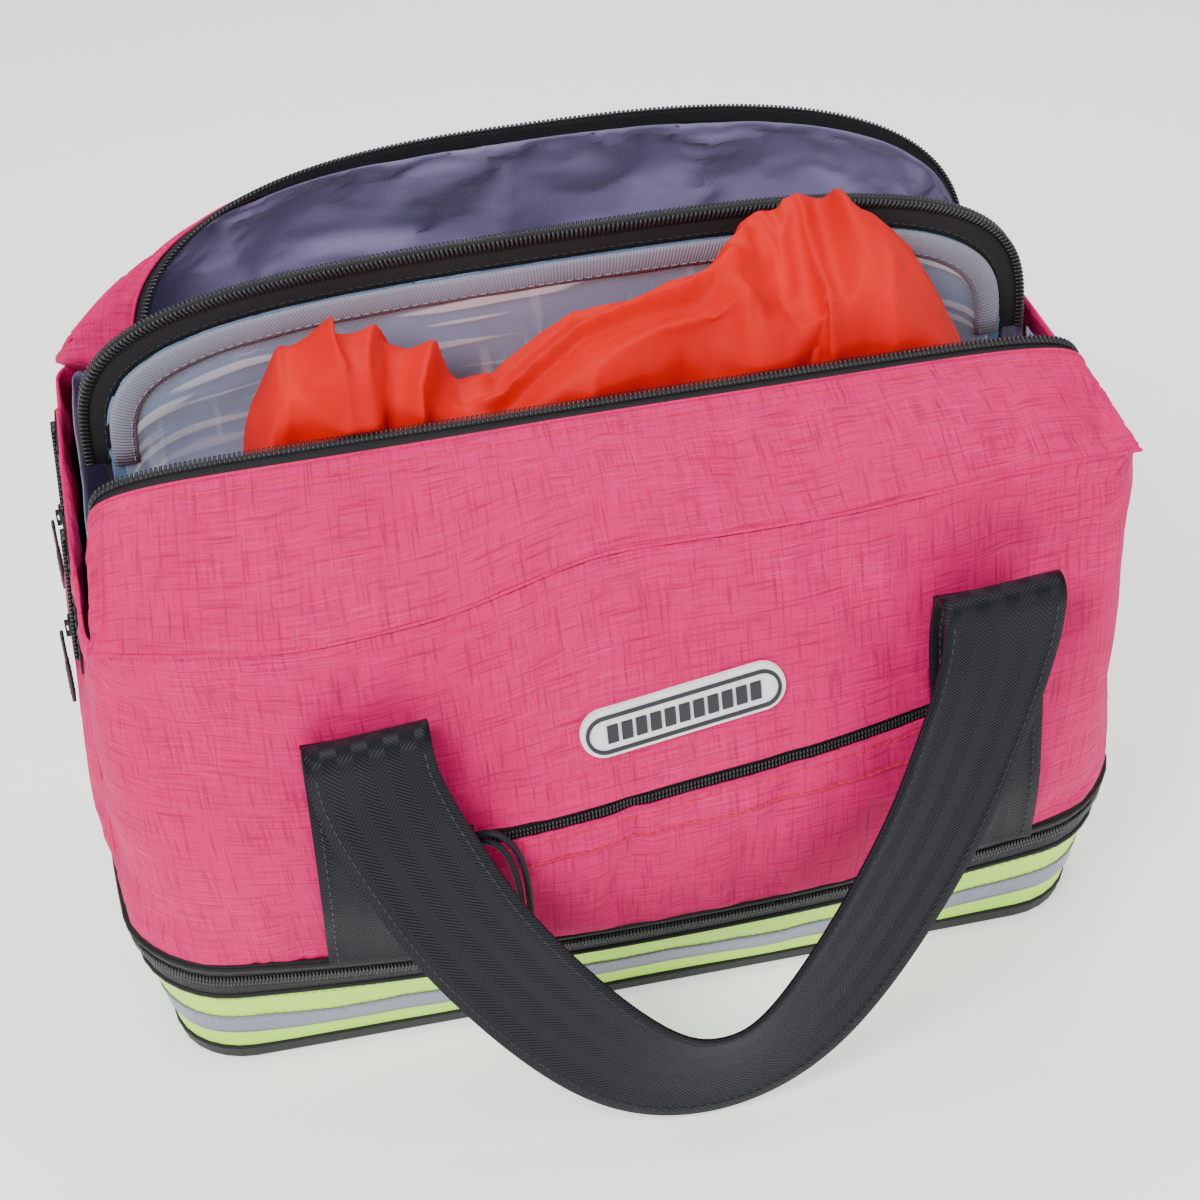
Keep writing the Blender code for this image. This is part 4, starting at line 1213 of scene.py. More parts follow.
sewn("divider_board", board, 1.6 * MM, board_plastic, "upper_bag", "stiff_board", ["divider_core"])
fold = tube_mesh("divider_top_fold", divider_bend(divider_curve(us, 2.2 * MM)), 2.0 * MM, zip_tape, squash=1.0)
assign(fold, "upper_bag", "zip_tape")

# %% Vinyl pocket and its binding
grid = divider_sheet(us, 130 * MM, 17 * MM, 60, 5.6 * MM)
ripple = soft_noise(grid, (0.045, 1, 0.03), 9.3)
ripple += 0.5 * soft_noise(grid, (0.014, 1, 0.05), 2.9)
grid[..., 1] -= 1.5 * MM * ripple * np.sin(np.pi * np.linspace(0.02, 0.98, 60))[:, None]
sewn("clear_pocket_film", grid, 0.35 * MM, vinyl, "upper_bag", "clear_vinyl", ["clear_pocket_sheet"])
bands = np.array([divider_bend(divider_curve(us, inset)) for inset in np.linspace(23.5, 12.5, 6) * MM])
puff = np.sin(np.pi * np.linspace(0, 1, 6))[:, None] * 0.9 * MM
bands[..., 1] -= 5.9 * MM + puff + 0.6 * MM * soft_noise(bands, (0.02, 1, 0.02), 1.7)
sewn("clear_pocket_edge", bands, 1.2 * MM, grey_binding, "upper_bag", "grey_binding", ["clear_pocket_binding"])
normal = np.tile((0.0, -1.0, 0.0), (len(us), 1))
line = divider_bend(divider_curve(us, 21.5 * MM)) - (0, 6.9 * MM, 0)
assign(stitches("clear_pocket_thread", line, normal, grey_binding), "upper_bag", "grey_binding")

# %% Linings of the two compartments
for name, side, cloth, finish_slot in (
    ("main", -1, main_lining_cloth, "blue_grey_lining"),
    ("rear", 1, rear_lining_cloth, "lavender_lining"),
):
    stop = DIVIDER_Y + side * 2.8 * MM
    levels = np.linspace(77.2 * MM, 245 * MM, 44)
    rows = np.array([side_path(z, -7.0 * MM, stop, side, long_steps=90) for z in levels])
    grid = settle(swell(rows))
    grid = grid[:, ::-1] if side < 0 else grid
    grid = grid + 1.6 * MM * (grid_normals(grid) * soft_noise(grid, (0.03, 0.03, 0.08), 7.7)[..., None])
    node = [f"{name}_lining"]
    sewn(f"{name}_lining_cloth", grid, 0.5 * MM, cloth, "upper_bag", finish_slot, node)
print("divider and linings done")


# %% [markdown]
# ## The boot compartment
# The lower band of the bag is one ring of fluorescent tape with a grey reflective stripe, a black binding
# round the foot, and the base zip above it. All are strips of the same section, laid one over another.

# %% Rings of tape
def ring_strip(low, high, out, rows, wobble=0.0, seed=0.0):
    """A closed strip round the bag between two heights."""
    grid = swell(np.array([loop_path(z, out) for z in np.linspace(low, high, rows)]))
    if wobble:
        fade = np.sin(np.pi * np.linspace(0.05, 0.95, rows))[:, None]
        sway = soft_noise(grid, (0.05, 0.05, 0.06), seed) + 0.4 * soft_noise(grid, (0.016, 0.016, 0.05), seed + 2)
        grid = grid + grid_normals(grid, True) * (wobble * fade * sway)[..., None]
    return grid


def closed_line(grid, row):
    """A row of a closed grid, ended where it began, with its normals."""
    line, normals = along_grid(grid, row=row, closed=True)
    return np.concatenate([line, line[:1]]), np.concatenate([normals, normals[:1]])


tape_ring = ring_strip(5.2 * MM, 50 * MM, 0.9 * MM, 18, 1.5 * MM, 3.3)
sewn("fluorescent_tape", tape_ring, 0.9 * MM, hi_vis, "boot_tray", "hi_vis", ["hi_vis_tape"], closed=True)
share = (np.linspace(19, 32, 6) - 5.2) / 44.8 * 17
stripe_ring = np.array([along_grid(tape_ring, row=s, closed=True)[0] for s in share])
stripe_ring = stripe_ring + 0.75 * MM * grid_normals(stripe_ring, True)
nodes = ["reflective_stripe"]
sewn("grey_stripe", stripe_ring, 0.6 * MM, reflective, "boot_tray", "reflective", nodes, closed=True)
for tag, row in (("low", 0.9), ("high", 15.9), ("stripe_low", share[0] - 0.35), ("stripe_high", share[-1] + 0.35)):
    line, normals = closed_line(tape_ring, row)
    thread = stitches(f"tape_thread_{tag}", line, normals, thread_lime)
    assign(thread, "boot_tray", "hi_vis")
foot_ring = ring_strip(0.3 * MM, 6.4 * MM, 1.9 * MM, 6)
sewn("foot_binding", foot_ring, 1.6 * MM, black_cloth, "boot_tray", "black_cloth", ["base_binding"], closed=True)
line, normals = closed_line(foot_ring, 5)
bead = tube_mesh("foot_binding_roll", line - 0.9 * MM * normals, 1.3 * MM, black_cloth)
assign(bead, "boot_tray", "black_cloth")
print("tape ring:", tape_ring.shape[:2])

# %% Base zip
ZIP_PARTING = 64.5 * MM


def base_strip(low, high, out, rows, side=-1, stop=-END_SEAM_Y, bulge=0.0):
    """A strip of the base zip on the front and both ends (side -1), or across the rear (1)."""
    grid = swell(np.array([side_path(z, out, stop, side) for z in np.linspace(low, high, rows)]))
    grid = grid if side < 0 else grid[:, ::-1]
    puff = np.sin(np.pi * np.linspace(0, 1, rows))[:, None, None] * bulge
    return grid + puff * grid_normals(grid)


for tag, body, low, high, node in (
    ("upper", "upper_bag", ZIP_PARTING + 0.5 * MM, 74.5 * MM, "base_zip_tape_upper"),
    ("lower", "boot_tray", 49.0 * MM, ZIP_PARTING - 0.5 * MM, "base_zip_tape_lower"),
):
    grid = base_strip(low, high, 1.0 * MM, 7, stop=END_SEAM_Y, bulge=0.5 * MM)
    sewn(f"base_{tag}_tape", grid, 0.8 * MM, zip_tape, body, "zip_tape", [node])
    sign = 1 if tag == "upper" else -1
    z = ZIP_PARTING + sign * 1.25 * MM
    pair = base_strip(z - 0.4 * MM, z + 0.4 * MM, 1.9 * MM, 2, stop=END_SEAM_Y)
    line, normals = pair.mean(axis=0), grid_normals(pair)[0]
    across = np.tile((0.0, 0.0, -float(sign)), (len(line), 1))
    size = (0.95 * MM, 2.6 * MM, 1.9 * MM)
    teeth = zip_teeth(f"base_{tag}_teeth", line, normals, across, 1.5 * MM, size)
    assign(teeth, body, "zip_coil", f"base_zip_chain_{tag}")
    z = 72.2 * MM if tag == "upper" else 51.6 * MM
    pair = base_strip(z - 0.4 * MM, z + 0.4 * MM, 1.5 * MM, 2, stop=END_SEAM_Y)
    welt = tube_mesh(f"base_{tag}_welt", pair.mean(axis=0), 1.35 * MM, black_cloth)
    assign(welt, body, "zip_tape")
    z = 69.0 * MM if tag == "upper" else 57.5 * MM
    pair = base_strip(z - 0.4 * MM, z + 0.4 * MM, 1.35 * MM, 2, stop=END_SEAM_Y)
    thread = stitches(f"base_{tag}_thread", pair.mean(axis=0), grid_normals(pair)[0], thread_black)
    assign(thread, body, "zip_tape")
hinge = base_strip(50.2 * MM, 74 * MM, 1.2 * MM, 12, side=1, stop=END_SEAM_Y + 0.5 * MM, bulge=0.5 * MM)
body = ("boot_tray", "upper_bag", (0, 0, 0.0655), (0, 0, 0.0735))
sewn("rear_hinge_cloth", hinge, 0.9 * MM, black_cloth, body, "black_cloth", ["hinge_strip"])
print("base zip done")


# %% [markdown]
# ## Straps, handles, pocket and badge
# These lie on the front panel, so they are draped on it: a ray from the middle of the bag finds the panel
# at each point, and the piece is set off outwards from there. Webbing is stiffer than the panel, so its
# grid is smoothed before it is given its thickness.

# %% Draping on a wall
def face_finder(*names):
    """A function that finds the outermost point of some pieces, on one side, at x and z."""
    points, faces = [], []
    for name in names:
        mesh = bpy.data.objects[name].data
        start = len(points)
        points += [v.co.copy() for v in mesh.vertices]
        faces += [tuple(i + start for i in p.vertices) for p in mesh.polygons]
    tree = BVHTree.FromPolygons(points, faces)

    def find(x, z, side):
        hit = tree.ray_cast(Vector((x, side * 0.3, z)), Vector((0, -side, 0)), 0.3)
        return hit[0].y if hit[0] is not None else side * section(z)[1]

    return find


find_front = face_finder("front_shell", "front_flap_shell")
find_rear = face_finder("rear_shell", "rear_flap_shell")


def blur(grid, times):
    """Neighbour averaging of the depth of a grid, with its outline free to follow."""
    for _ in range(times):
        y = np.pad(grid[..., 1], 1, mode="edge")
        grid[..., 1] = (y[1:-1, 1:-1] * 2 + y[:-2, 1:-1] + y[2:, 1:-1] + y[1:-1, :-2] + y[1:-1, 2:]) / 6
    return grid


def drape(xs, zs, side, out, smoothing=0):
    """A grid on the front (side -1) or rear (1) wall. `zs` may depend on x."""
    find = find_front if side < 0 else find_rear
    rows = []
    for row in range(len(zs)):
        heights = zs[row] if np.ndim(zs[row]) else np.full(len(xs), zs[row])
        rows.append([(x, find(x, z, side), z) for x, z in zip(xs, heights)])
    grid = blur(np.array(rows), smoothing)
    grid = grid if side < 0 else grid[:, ::-1]
    return grid + out * grid_normals(grid)


# %% Straps
WEB, WEB_THICK = 50.0 * MM, 2.0 * MM
STRAP_X = (-114.0 * MM, 143.0 * MM)
BEND_Z, BEND_RADIUS, BEND_OUT = 203.5 * MM, 9.0 * MM, 141.0 * MM
BEND_RISE = 21.0 / 257.0
MIDDLE = sum(STRAP_X) / 2
for face, side in (("front", -1), ("rear", 1)):
    for hand, x in zip(("left", "right"), STRAP_X):
        xs = np.linspace(x - WEB / 2, x + WEB / 2, 15)
        head = BEND_Z + BEND_RISE * (x - MIDDLE)
        zs = np.linspace(74.5 * MM, head + 1.0 * MM, 64)
        grid = drape(xs, zs, side, 3.9 * MM, 26)
        lean = ease(grid[..., 2], head - 30 * MM, head) * side
        reach = BEND_OUT - BEND_RADIUS + 1.0 * MM
        grid[..., 1] += np.abs(lean) * (side * reach - grid[..., 1])
        nodes = [f"{face}_strap_{hand}"]
        name = f"{face}_{hand}_strap"
        sewn(name, grid, WEB_THICK, black_webbing, "upper_bag", "black_webbing", nodes)
        for tag, column in (("near", 1.1), ("far", 12.9)):
            line, normals = along_grid(grid, column=column)
            thread = stitches(f"{name}_{tag}_thread", line, normals, thread_black)
            assign(thread, "upper_bag", "black_webbing")
        step = np.linalg.norm(grid[1, 7] - grid[0, 7])
        for tag, height in (("a", 18 * MM), ("b", 52 * MM)):
            row = len(zs) - 1 - height / step
            line, normals = along_grid(grid, row=row)
            thread = stitches(f"{name}_box_{tag}", line[1:-1], normals[1:-1], thread_black)
            assign(thread, "upper_bag", "black_webbing")


# %% [markdown]
# A handle is one length of webbing. It rolls over a bend at the head of each strap and hangs to the
# table, turning on edge as it goes. The bend stays with the bag at one end and turns with the handle at
# the other, so the whole handle is blended between the two bodies across the thickness of the bend.

# %% Handles
def smooth_route(knots, steps):
    """A smooth curve through the knots."""
    knots = np.array(knots, float)
    ends = np.concatenate([[2 * knots[0] - knots[1]], knots, [2 * knots[-1] - knots[-2]]])
    points = []
    for k in range(1, len(ends) - 2):
        p, q, r, s = ends[k - 1 : k + 3]
        for t in np.linspace(0, 1, steps, endpoint=False):
            bend = (2 * p - 5 * q + 4 * r - s) * t + (3 * q - p - 3 * r + s) * t * t
            points.append(0.5 * (2 * q + (r - p) * t + bend * t))
    return np.array(points + [knots[-1]])


def smooth_rows(rows, times):
    """Neighbour averaging along a list of rows, with both ends held."""
    rows = np.array(rows, float)
    for _ in range(times):
        rows[1:-1] = (rows[:-2] + 2 * rows[1:-1] + rows[2:]) / 4
    return rows


def webbing_handle(side):
    """The centre line of a handle and the direction across it."""
    half = (STRAP_X[1] - STRAP_X[0]) / 2
    axis_y = side * BEND_OUT
    roll = np.linspace(np.radians(4), np.radians(172), 18)
    left = [(-half, axis_y - side * BEND_RADIUS * np.cos(t), BEND_RADIUS * np.sin(t)) for t in roll]
    left = np.array(left) + (0, 0, BEND_Z)
    knots = [(-128.5, 150, 203.5), (-126, 152, 186), (-116, 158, 158), (-95, 167, 113)]
    knots += [(-62, 177, 65), (-31, 184, 36), (0, 187, 28)]
    knots += [(-x, y, z) for x, y, z in knots[-2::-1]]
    loop = smooth_route(np.array(knots) * (1, side, 1) * MM, 12)
    centre = np.concatenate([left, loop, left[::-1] * (-1, 1, 1)])
    centre = smooth_rows(centre, 6)
    tangent = np.gradient(centre, axis=0)
    tangent /= np.linalg.norm(tangent, axis=1, keepdims=True)
    width = side * np.cross(tangent, (0, -0.98 * side, 0.2))
    width[: len(left)] = (-1, 0, 0)
    width[-len(left) :] = (1, 0, 0)
    width /= np.linalg.norm(width, axis=1, keepdims=True)
    width = smooth_rows(width, 24)
    width /= np.linalg.norm(width, axis=1, keepdims=True)
    return centre, width, len(left)


for face, side in (("front", -1), ("rear", 1)):
    centre, width, roll_count = webbing_handle(side)
    tangent = np.gradient(centre, axis=0)
    tangent /= np.linalg.norm(tangent, axis=1, keepdims=True)
    normal = np.cross(tangent, width)
    shares = np.linspace(-0.5, 0.5, 15)
    rows = []
    hang = np.sin(np.pi * np.linspace(0, 1, len(centre))) ** 2
    for share in shares:
        cup = 2.2 * MM * (1 - 4 * share * share) * hang
        rows.append(centre + share * WEB * width + normal * cup[:, None])
    grid = np.array(rows)
    grid[..., 2] += BEND_RISE * grid[..., 0]
    grid[..., 0] += MIDDLE
    grid = grid.transpose(1, 0, 2)
    grid = grid - (WEB_THICK / 2) * grid_normals(grid)
    name = f"{face}_handle"
    bend_start = (0, side * (BEND_OUT - BEND_RADIUS + 0.4 * MM), 0)
    bend_end = (0, side * (BEND_OUT + BEND_RADIUS - 0.6 * MM), 0)
    body = ("upper_bag", name, bend_start, bend_end)
    sewn(f"{name}_webbing", grid, WEB_THICK, black_webbing, body, "black_webbing", [name])
    for tag, column in (("near", 1.0), ("far", 13.0)):
        line, normals = along_grid(grid, column=column)
        loop = slice(roll_count, -roll_count)
        thread = stitches(f"{name}_{tag}_thread", line[loop], normals[loop], thread_black)
        assign(thread, body, "black_webbing")
    length = np.linalg.norm(np.diff(centre, axis=0), axis=1).sum()
    print(face, "handle:", round(float(length) * 1000), "mm of webbing")


# %% [markdown]
# The pocket is a separate panel between the straps. Its top edge is turned over twice and stitched with
# two rows of red thread, and a zip closes it against a lip on the wall.

# %% Pocket
POCKET_LEFT, POCKET_RIGHT, POCKET_TOP = -93.0 * MM, 119.0 * MM, 134.0 * MM
SLOPE = 22.0 / 202.0
pocket_x = np.linspace(POCKET_LEFT, POCKET_RIGHT, 84)


def pocket_height(x):
    """Height of the pocket's top edge."""
    return POCKET_TOP + SLOPE * (x + 88 * MM)


top_line = pocket_height(pocket_x)
zs = [75 * MM + share * (top_line - 75 * MM) for share in np.linspace(0, 1, 44)]
grid = drape(pocket_x, zs, -1, 2.6 * MM, 4)
grid = crumple(grid, 1.2 * MM, (0.06, 0.05, 0.03), 12.2, 4, 6) + 0.6 * MM * grid_normals(grid)
pocket_grid = relax(grid, 0.014, 0.3, 3.0 * MM, inward=0.4 * MM)
sewn("pocket_front", pocket_grid, 1.0 * MM, pink, "upper_bag", "pink_polyester", ["pocket_panel"])
step = (top_line.mean() - 75 * MM) / 43
line, normals = along_grid(pocket_grid, row=43)
hem = tube_mesh("pocket_hem_roll", line - 0.5 * MM * normals, 1.0 * MM, pink)
assign(hem, "upper_bag", "pink_polyester")
for tag, below in (("a", 3.0 * MM), ("b", 13.0 * MM)):
    line, normals = along_grid(pocket_grid, row=43 - below / step)
    line = line + 0.8 * MM * normals
    thread = stitches(f"pocket_hem_thread_{tag}", line, normals, thread_red, width=0.8 * MM, lift=0.5 * MM)
    assign(thread, "upper_bag", "pink_polyester")
hem_rows = pocket_grid[int(43 - 14.5 * MM / step) :]
fold = np.clip(np.linspace(0, 3, len(hem_rows)), 0, 1)[:, None, None]
band = hem_rows + grid_normals(hem_rows) * 0.75 * MM * fold
sewn("pocket_hem_band", band, 0.7 * MM, pink, "upper_bag", "pink_polyester")
zs = [top_line + low * MM for low in np.linspace(-3.5, 9.5, 7)]
tape_grid = drape(pocket_x, zs, -1, 1.3 * MM, 3)
sewn("pocket_tape", tape_grid, 0.7 * MM, zip_tape, "upper_bag", "zip_tape", ["pocket_zip_tape"])
for tag, offset, sign in (("low", 2.0 * MM, 1), ("high", 4.0 * MM, -1)):
    zs = [top_line + offset - 0.4 * MM, top_line + offset + 0.4 * MM]
    pair = drape(pocket_x, zs, -1, 2.0 * MM, 2)
    across = np.tile((0.0, 0.0, float(sign)), (len(pocket_x), 1))
    size = (0.95 * MM, 2.0 * MM, 1.6 * MM)
    teeth = zip_teeth(f"pocket_{tag}_teeth", pair.mean(axis=0), grid_normals(pair)[0], across, 1.5 * MM, size)
    nodes = ["pocket_zip_chain"] if tag == "low" else []
    assign(teeth, "upper_bag", "zip_coil", *nodes)
lift = np.array([2.6, 2.8, 2.3, 1.4, 0.4, -0.6]) * MM
zs = [top_line + low * MM for low in (6.6, 7.4, 10.5, 15, 19, 23)]
lip = drape(pocket_x, zs, -1, 0.0, 2)
lip = lip + lift[:, None, None] * grid_normals(lip)
sewn("pocket_lip_cloth", lip, 0.7 * MM, pink, "upper_bag", "pink_polyester", ["pocket_lip"])
line, normals = along_grid(lip, row=0)
roll = tube_mesh("pocket_lip_roll", line - 0.5 * MM * normals, 0.85 * MM, pink)
assign(roll, "upper_bag", "pink_polyester")
print("pocket grid:", pocket_grid.shape[:2])


# %% [markdown]
# The badge is moulded in soft rubber: a pale plate with round ends and a dark raised line inside its edge.
# A row of plain slanted bars stands where a maker would put a name.

# %% Badge
def stadium(width, height, steps=24):
    """Outline of a bar with round ends."""
    r = height / 2
    points = []
    for start, cx in ((-np.pi / 2, width / 2 - r), (np.pi / 2, r - width / 2)):
        for t in np.linspace(start, start + np.pi, steps):
            points.append((cx + r * np.cos(t), r * np.sin(t)))
    return np.array(points)


TILT = np.radians(7.0)
badge_side = [find_front(x * MM, 182 * MM + (x - 14) * MM * np.tan(TILT), -1) for x in (-24, 14, 52)]
badge_curve = np.polyfit(np.array((-38, 0, 38)) * MM, badge_side, 2)
badge_lean = (find_front(14 * MM, 190 * MM, -1) - find_front(14 * MM, 174 * MM, -1)) / (16 * MM)


def on_badge(outline, out):
    """Points of the badge's own plane set on the wall."""
    across, up_way = outline[:, 0], outline[:, 1]
    x = across * np.cos(TILT) - up_way * np.sin(TILT) + 14 * MM
    z = across * np.sin(TILT) + up_way * np.cos(TILT) + 182 * MM
    y = np.polyval(badge_curve, across) + badge_lean * up_way - out
    return np.stack([x, y, z], axis=1)


def raised(name, profile, finish, nodes, finish_slot):
    """A solid from a list of (width, height, out) outlines, closed at both ends."""
    rows = [on_badge(stadium(w * MM, h * MM), out * MM) for w, h, out in profile]
    count, points, faces = len(rows[0]), np.concatenate(rows), []
    for k in range(len(rows) - 1):
        for i in range(count):
            j = (i + 1) % count
            faces.append((k * count + i, k * count + j, (k + 1) * count + j, (k + 1) * count + i))
    if profile[0][2] == profile[-1][2]:
        last = (len(rows) - 1) * count
        faces += [(last + i, last + (i + 1) % count, (i + 1) % count, i) for i in range(count)]
    else:
        faces.append(tuple(reversed(range(count))))
        faces.append(tuple(range(len(points) - count, len(points))))
    piece = mesh_object(name, points, faces, None, finish, smooth=False)
    return assign(piece, "upper_bag", finish_slot, *nodes)


plate = [(84, 18, -0.6), (86, 20, 0.2), (86, 20, 2.2), (85.4, 19.4, 2.7), (84.4, 18.4, 2.9)]
raised("badge_plate_moulded", plate, badge_white, ["badge_plate"], "badge_white")
line = [(82.0, 16.0, 2.8), (82.0, 16.0, 3.5), (81.6, 15.6, 3.8)]
line += [(79.4, 13.4, 3.8), (79.0, 13.0, 3.5), (79.0, 13.0, 2.8)]
raised("badge_line", line, badge_dark, ["badge_border"], "badge_dark")
points, faces = [], []
for x in np.linspace(-30, 30, 11):
    for out, shrink in ((2.8, 0.0), (3.6, 0.0), (3.9, 0.35)):
        corners = [(-2.6, -3.6), (1.9, -3.6), (2.8, 3.6), (-1.7, 3.6)]
        shape = np.array([(x + c * (1 - 0.2 * shrink), h * (1 - 0.12 * shrink)) for c, h in corners]) * MM
        points.extend(on_badge(shape, out * MM))
    first = len(points) - 12
    for k in (0, 4):
        faces += [(first + k + i, first + k + (i + 1) % 4, first + k + 4 + (i + 1) % 4, first + k + 4 + i) for i in range(4)]
    faces += [(first + 3, first + 2, first + 1, first), tuple(first + 8 + i for i in range(4))]
bars = mesh_object("badge_bars", points, faces, None, badge_dark, smooth=False)
assign(bars, "upper_bag", "badge_dark")
print("badge depth along its length:", [round(float(y), 4) for y in badge_side])


# %% [markdown]
# ## Sliders and pulls
# A slider is a small metal casting: two wings joined by a post, with a bridge on top that carries the
# pull. Each is built from bevelled blocks joined in one mesh. The long zips have moulded tabs; the pocket
# has a doubled cord that ends in a moulded toggle.

# %% Small castings
def bevelled(boxes, bevel=0.4 * MM, taper=None):
    """One mesh from several (low, high) blocks with rounded edges."""
    points, faces = [], []
    for low, high in boxes:
        work = bmesh.new()
        bmesh.ops.create_cube(work, size=1.0)
        low, high = Vector(low), Vector(high)
        for v in work.verts:
            v.co = Vector([(low[k] + high[k]) / 2 + v.co[k] * (high[k] - low[k]) for k in range(3)])
        reach = min(bevel, 0.45 * min(high[k] - low[k] for k in range(3)))
        bmesh.ops.bevel(work, geom=list(work.edges), offset=reach, segments=3, profile=0.5, affect="EDGES")
        start = len(points)
        work.verts.index_update()
        points += [tuple(v.co) for v in work.verts]
        faces += [tuple(v.index + start for v in f.verts) for f in work.faces]
        work.free()
    points = np.array(points)
    return (taper(points) if taper else points), faces


def ring_points(centre, axis_a, axis_b, radius, thick, turns=24, sides=8):
    """A wire ring in the plane of two axes."""
    centre, axis_a, axis_b = (np.array(v, float) for v in (centre, axis_a, axis_b))
    normal = np.cross(axis_a, axis_b)
    points, faces = [], []
    for i in range(turns):
        t = 2 * np.pi * i / turns
        spoke = np.cos(t) * axis_a + np.sin(t) * axis_b
        for k in range(sides):
            s = 2 * np.pi * k / sides
            points.append(centre + spoke * (radius + thick * np.cos(s)) + normal * thick * np.sin(s))
    for i in range(turns):
        for k in range(sides):
            a, b = i * sides + k, i * sides + (k + 1) % sides
            c, d = ((i + 1) % turns) * sides + (k + 1) % sides, ((i + 1) % turns) * sides + k
            faces.append((a, b, c, d))
    return np.array(points), faces


def joined(name, parts, finish, body, finish_slot, *nodes):
    """Several (points, faces) in one piece."""
    points, faces = [], []
    for p, f in parts:
        faces += [tuple(i + len(points) for i in face) for face in f]
        points += [tuple(v) for v in p]
    return assign(mesh_object(name, points, faces, None, finish), body, finish_slot, *nodes)


def casting(node, out, along):
    """A slider over a CAD node's box: `out` points off the cloth and `along` is the zip's own way."""
    low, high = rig.box(node)
    centre, half = (low + high) / 2, (high - low) / 2
    out, along = Vector(out), Vector(along)
    wide = out.cross(along)
    depth, width, length = (abs(half.dot(Vector([abs(c) for c in axis]))) for axis in (out, wide, along))

    def block(o0, o1, w0, w1, a0, a1):
        ends = [centre + out * depth * o + wide * width * w + along * length * a for o, w, a in ((o0, w0, a0), (o1, w1, a1))]
        return [min(ends[0][k], ends[1][k]) for k in range(3)], [max(ends[0][k], ends[1][k]) for k in range(3)]

    boxes = [
        block(-1.0, -0.1, -1.0, -0.18, -1.0, 1.0),
        block(-1.0, -0.1, 0.18, 1.0, -1.0, 1.0),
        block(-0.7, 0.25, -0.95, 0.95, -0.35, 0.95),
        block(0.1, 1.0, -0.28, 0.28, -0.75, -0.35),
        block(0.1, 1.0, -0.28, 0.28, 0.35, 0.75),
        block(0.65, 1.0, -0.28, 0.28, -0.75, 0.75),
    ]
    return bevelled(boxes)


for node, body, out, along in (
    ("main_slider", "main_slider", (-1, 0, 0), (0, 0, 1)),
    ("rear_slider", "rear_slider", (-1, 0, 0), (0, 0, 1)),
    ("base_slider", "base_slider", (1, 0, 0), (0, 1, 0)),
    ("pocket_slider", "pocket_slider", (0, -1, 0), (1, 0, 0)),
):
    joined(f"{node}_casting", [casting(node, out, along)], slider_metal, body, "slider_metal", node)


def moulded_tab(node):
    """A pull tab over a CAD node's box: an eye at the top, a waist and a ribbed grip."""
    low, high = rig.box(node)
    length = high.z - low.z
    middle = (low + high) / 2
    boxes = [(low + Vector((0, 0, 0)), Vector((high.x, high.y, low.z + 0.58 * length)))]
    inset = 0.9 * MM
    neck_low = Vector((low.x + 0.2 * MM, low.y + inset, low.z + 0.5 * length))
    boxes.append((neck_low, Vector((high.x - 0.2 * MM, high.y - inset, high.z - 5 * MM))))
    for k in range(5):
        z = low.z + (0.10 + 0.085 * k) * length
        grow = 0.25 * MM
        boxes.append(((low.x - grow, low.y + 0.8 * MM, z), (high.x + grow, high.y - 0.8 * MM, z + 1.1 * MM)))
    eye = ring_points((middle.x, middle.y, high.z - 3.0 * MM), (0, 1, 0), (0, 0, 1), 2.2 * MM, 0.75 * MM)
    return [bevelled(boxes, 0.7 * MM), eye]


for node in ("main_pull", "rear_pull", "base_pull"):
    joined(f"{node}_tab", moulded_tab(node), pull_plastic, node, "pull_plastic", node)

# %% Zip tails on the left end
for name in ("main", "rear"):
    low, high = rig.box(f"{name}_zip_tail")
    ys = np.linspace(low.y, high.y, 9)
    rows = []
    for z in np.linspace(low.z, high.z, 24):
        length, _, _ = section(z)
        rows.append([(-(length + 1.6 * MM), y, z) for y in ys])
    grid = settle(swell(np.array(rows)))[:, ::-1]
    sewn(f"{name}_tail_tape", grid, 0.8 * MM, zip_tape, "upper_bag", "zip_tape", [f"{name}_zip_tail"])
    for tag, sign in (("a", 1), ("b", -1)):
        line, normals = along_grid(grid, column=4 + 0.62 * sign)
        across = np.tile((0.0, float(sign), 0.0), (len(line), 1))
        teeth = zip_teeth(f"{name}_tail_teeth_{tag}", line + 0.9 * MM * normals, normals, across)
        assign(teeth, "upper_bag", "zip_coil")
        line, normals = along_grid(grid, column=4 - 3.3 * sign)
        thread = stitches(f"{name}_tail_thread_{tag}", line, normals, thread_black)
        assign(thread, "upper_bag", "zip_tape")
print("castings: 4 sliders, 3 tabs")


# %% [markdown]
# The pocket's cord is about 80 mm of doubled braid. Both strands leave the slider's bridge, hook over the
# lip and hang side by side into a moulded toggle. Each strand is its own short cord of known length.

# %% Pocket cord
def strap_depth(x, z, out):
    """Distance from the middle of the bag to a layer on its unslumped front."""
    _, b, _ = section(z)
    return abs(swell(np.array([[x, -(b + out), z]]))[0, 1])


pull_face = -strap_depth(-80 * MM, 143.9 * MM, 5.2 * MM)
route = [
    (-79.0, -6.6, 143.6), (-74.0, -8.5, 146.5), (-68.0, -10.5, 146.0), (-63.0, -12.0, 140.5),
    (-60.0, -12.5, 131.0), (-58.5, -12.0, 119.0), (-58.0, -11.5, 106.0), (-58.0, -11.0, 95.0),
    (-58.0, -11.0, 84.0),
]
route = smooth_route(np.array(route) * MM + (0, pull_face, 0), 4)
toggle = (-58.0 * MM, pull_face - 11.0 * MM, 77.5 * MM)
profile = [(-10.0, 4.9, 3.1), (-9.4, 6.2, 4.0), (-7.5, 6.7, 4.3), (3.5, 6.9, 4.4), (4.2, 6.2, 3.9)]
profile += [(5.0, 6.1, 3.8), (6.0, 6.6, 4.2), (9.0, 5.6, 3.8), (10.0, 4.4, 2.9)]
count, points, faces = 32, [], []
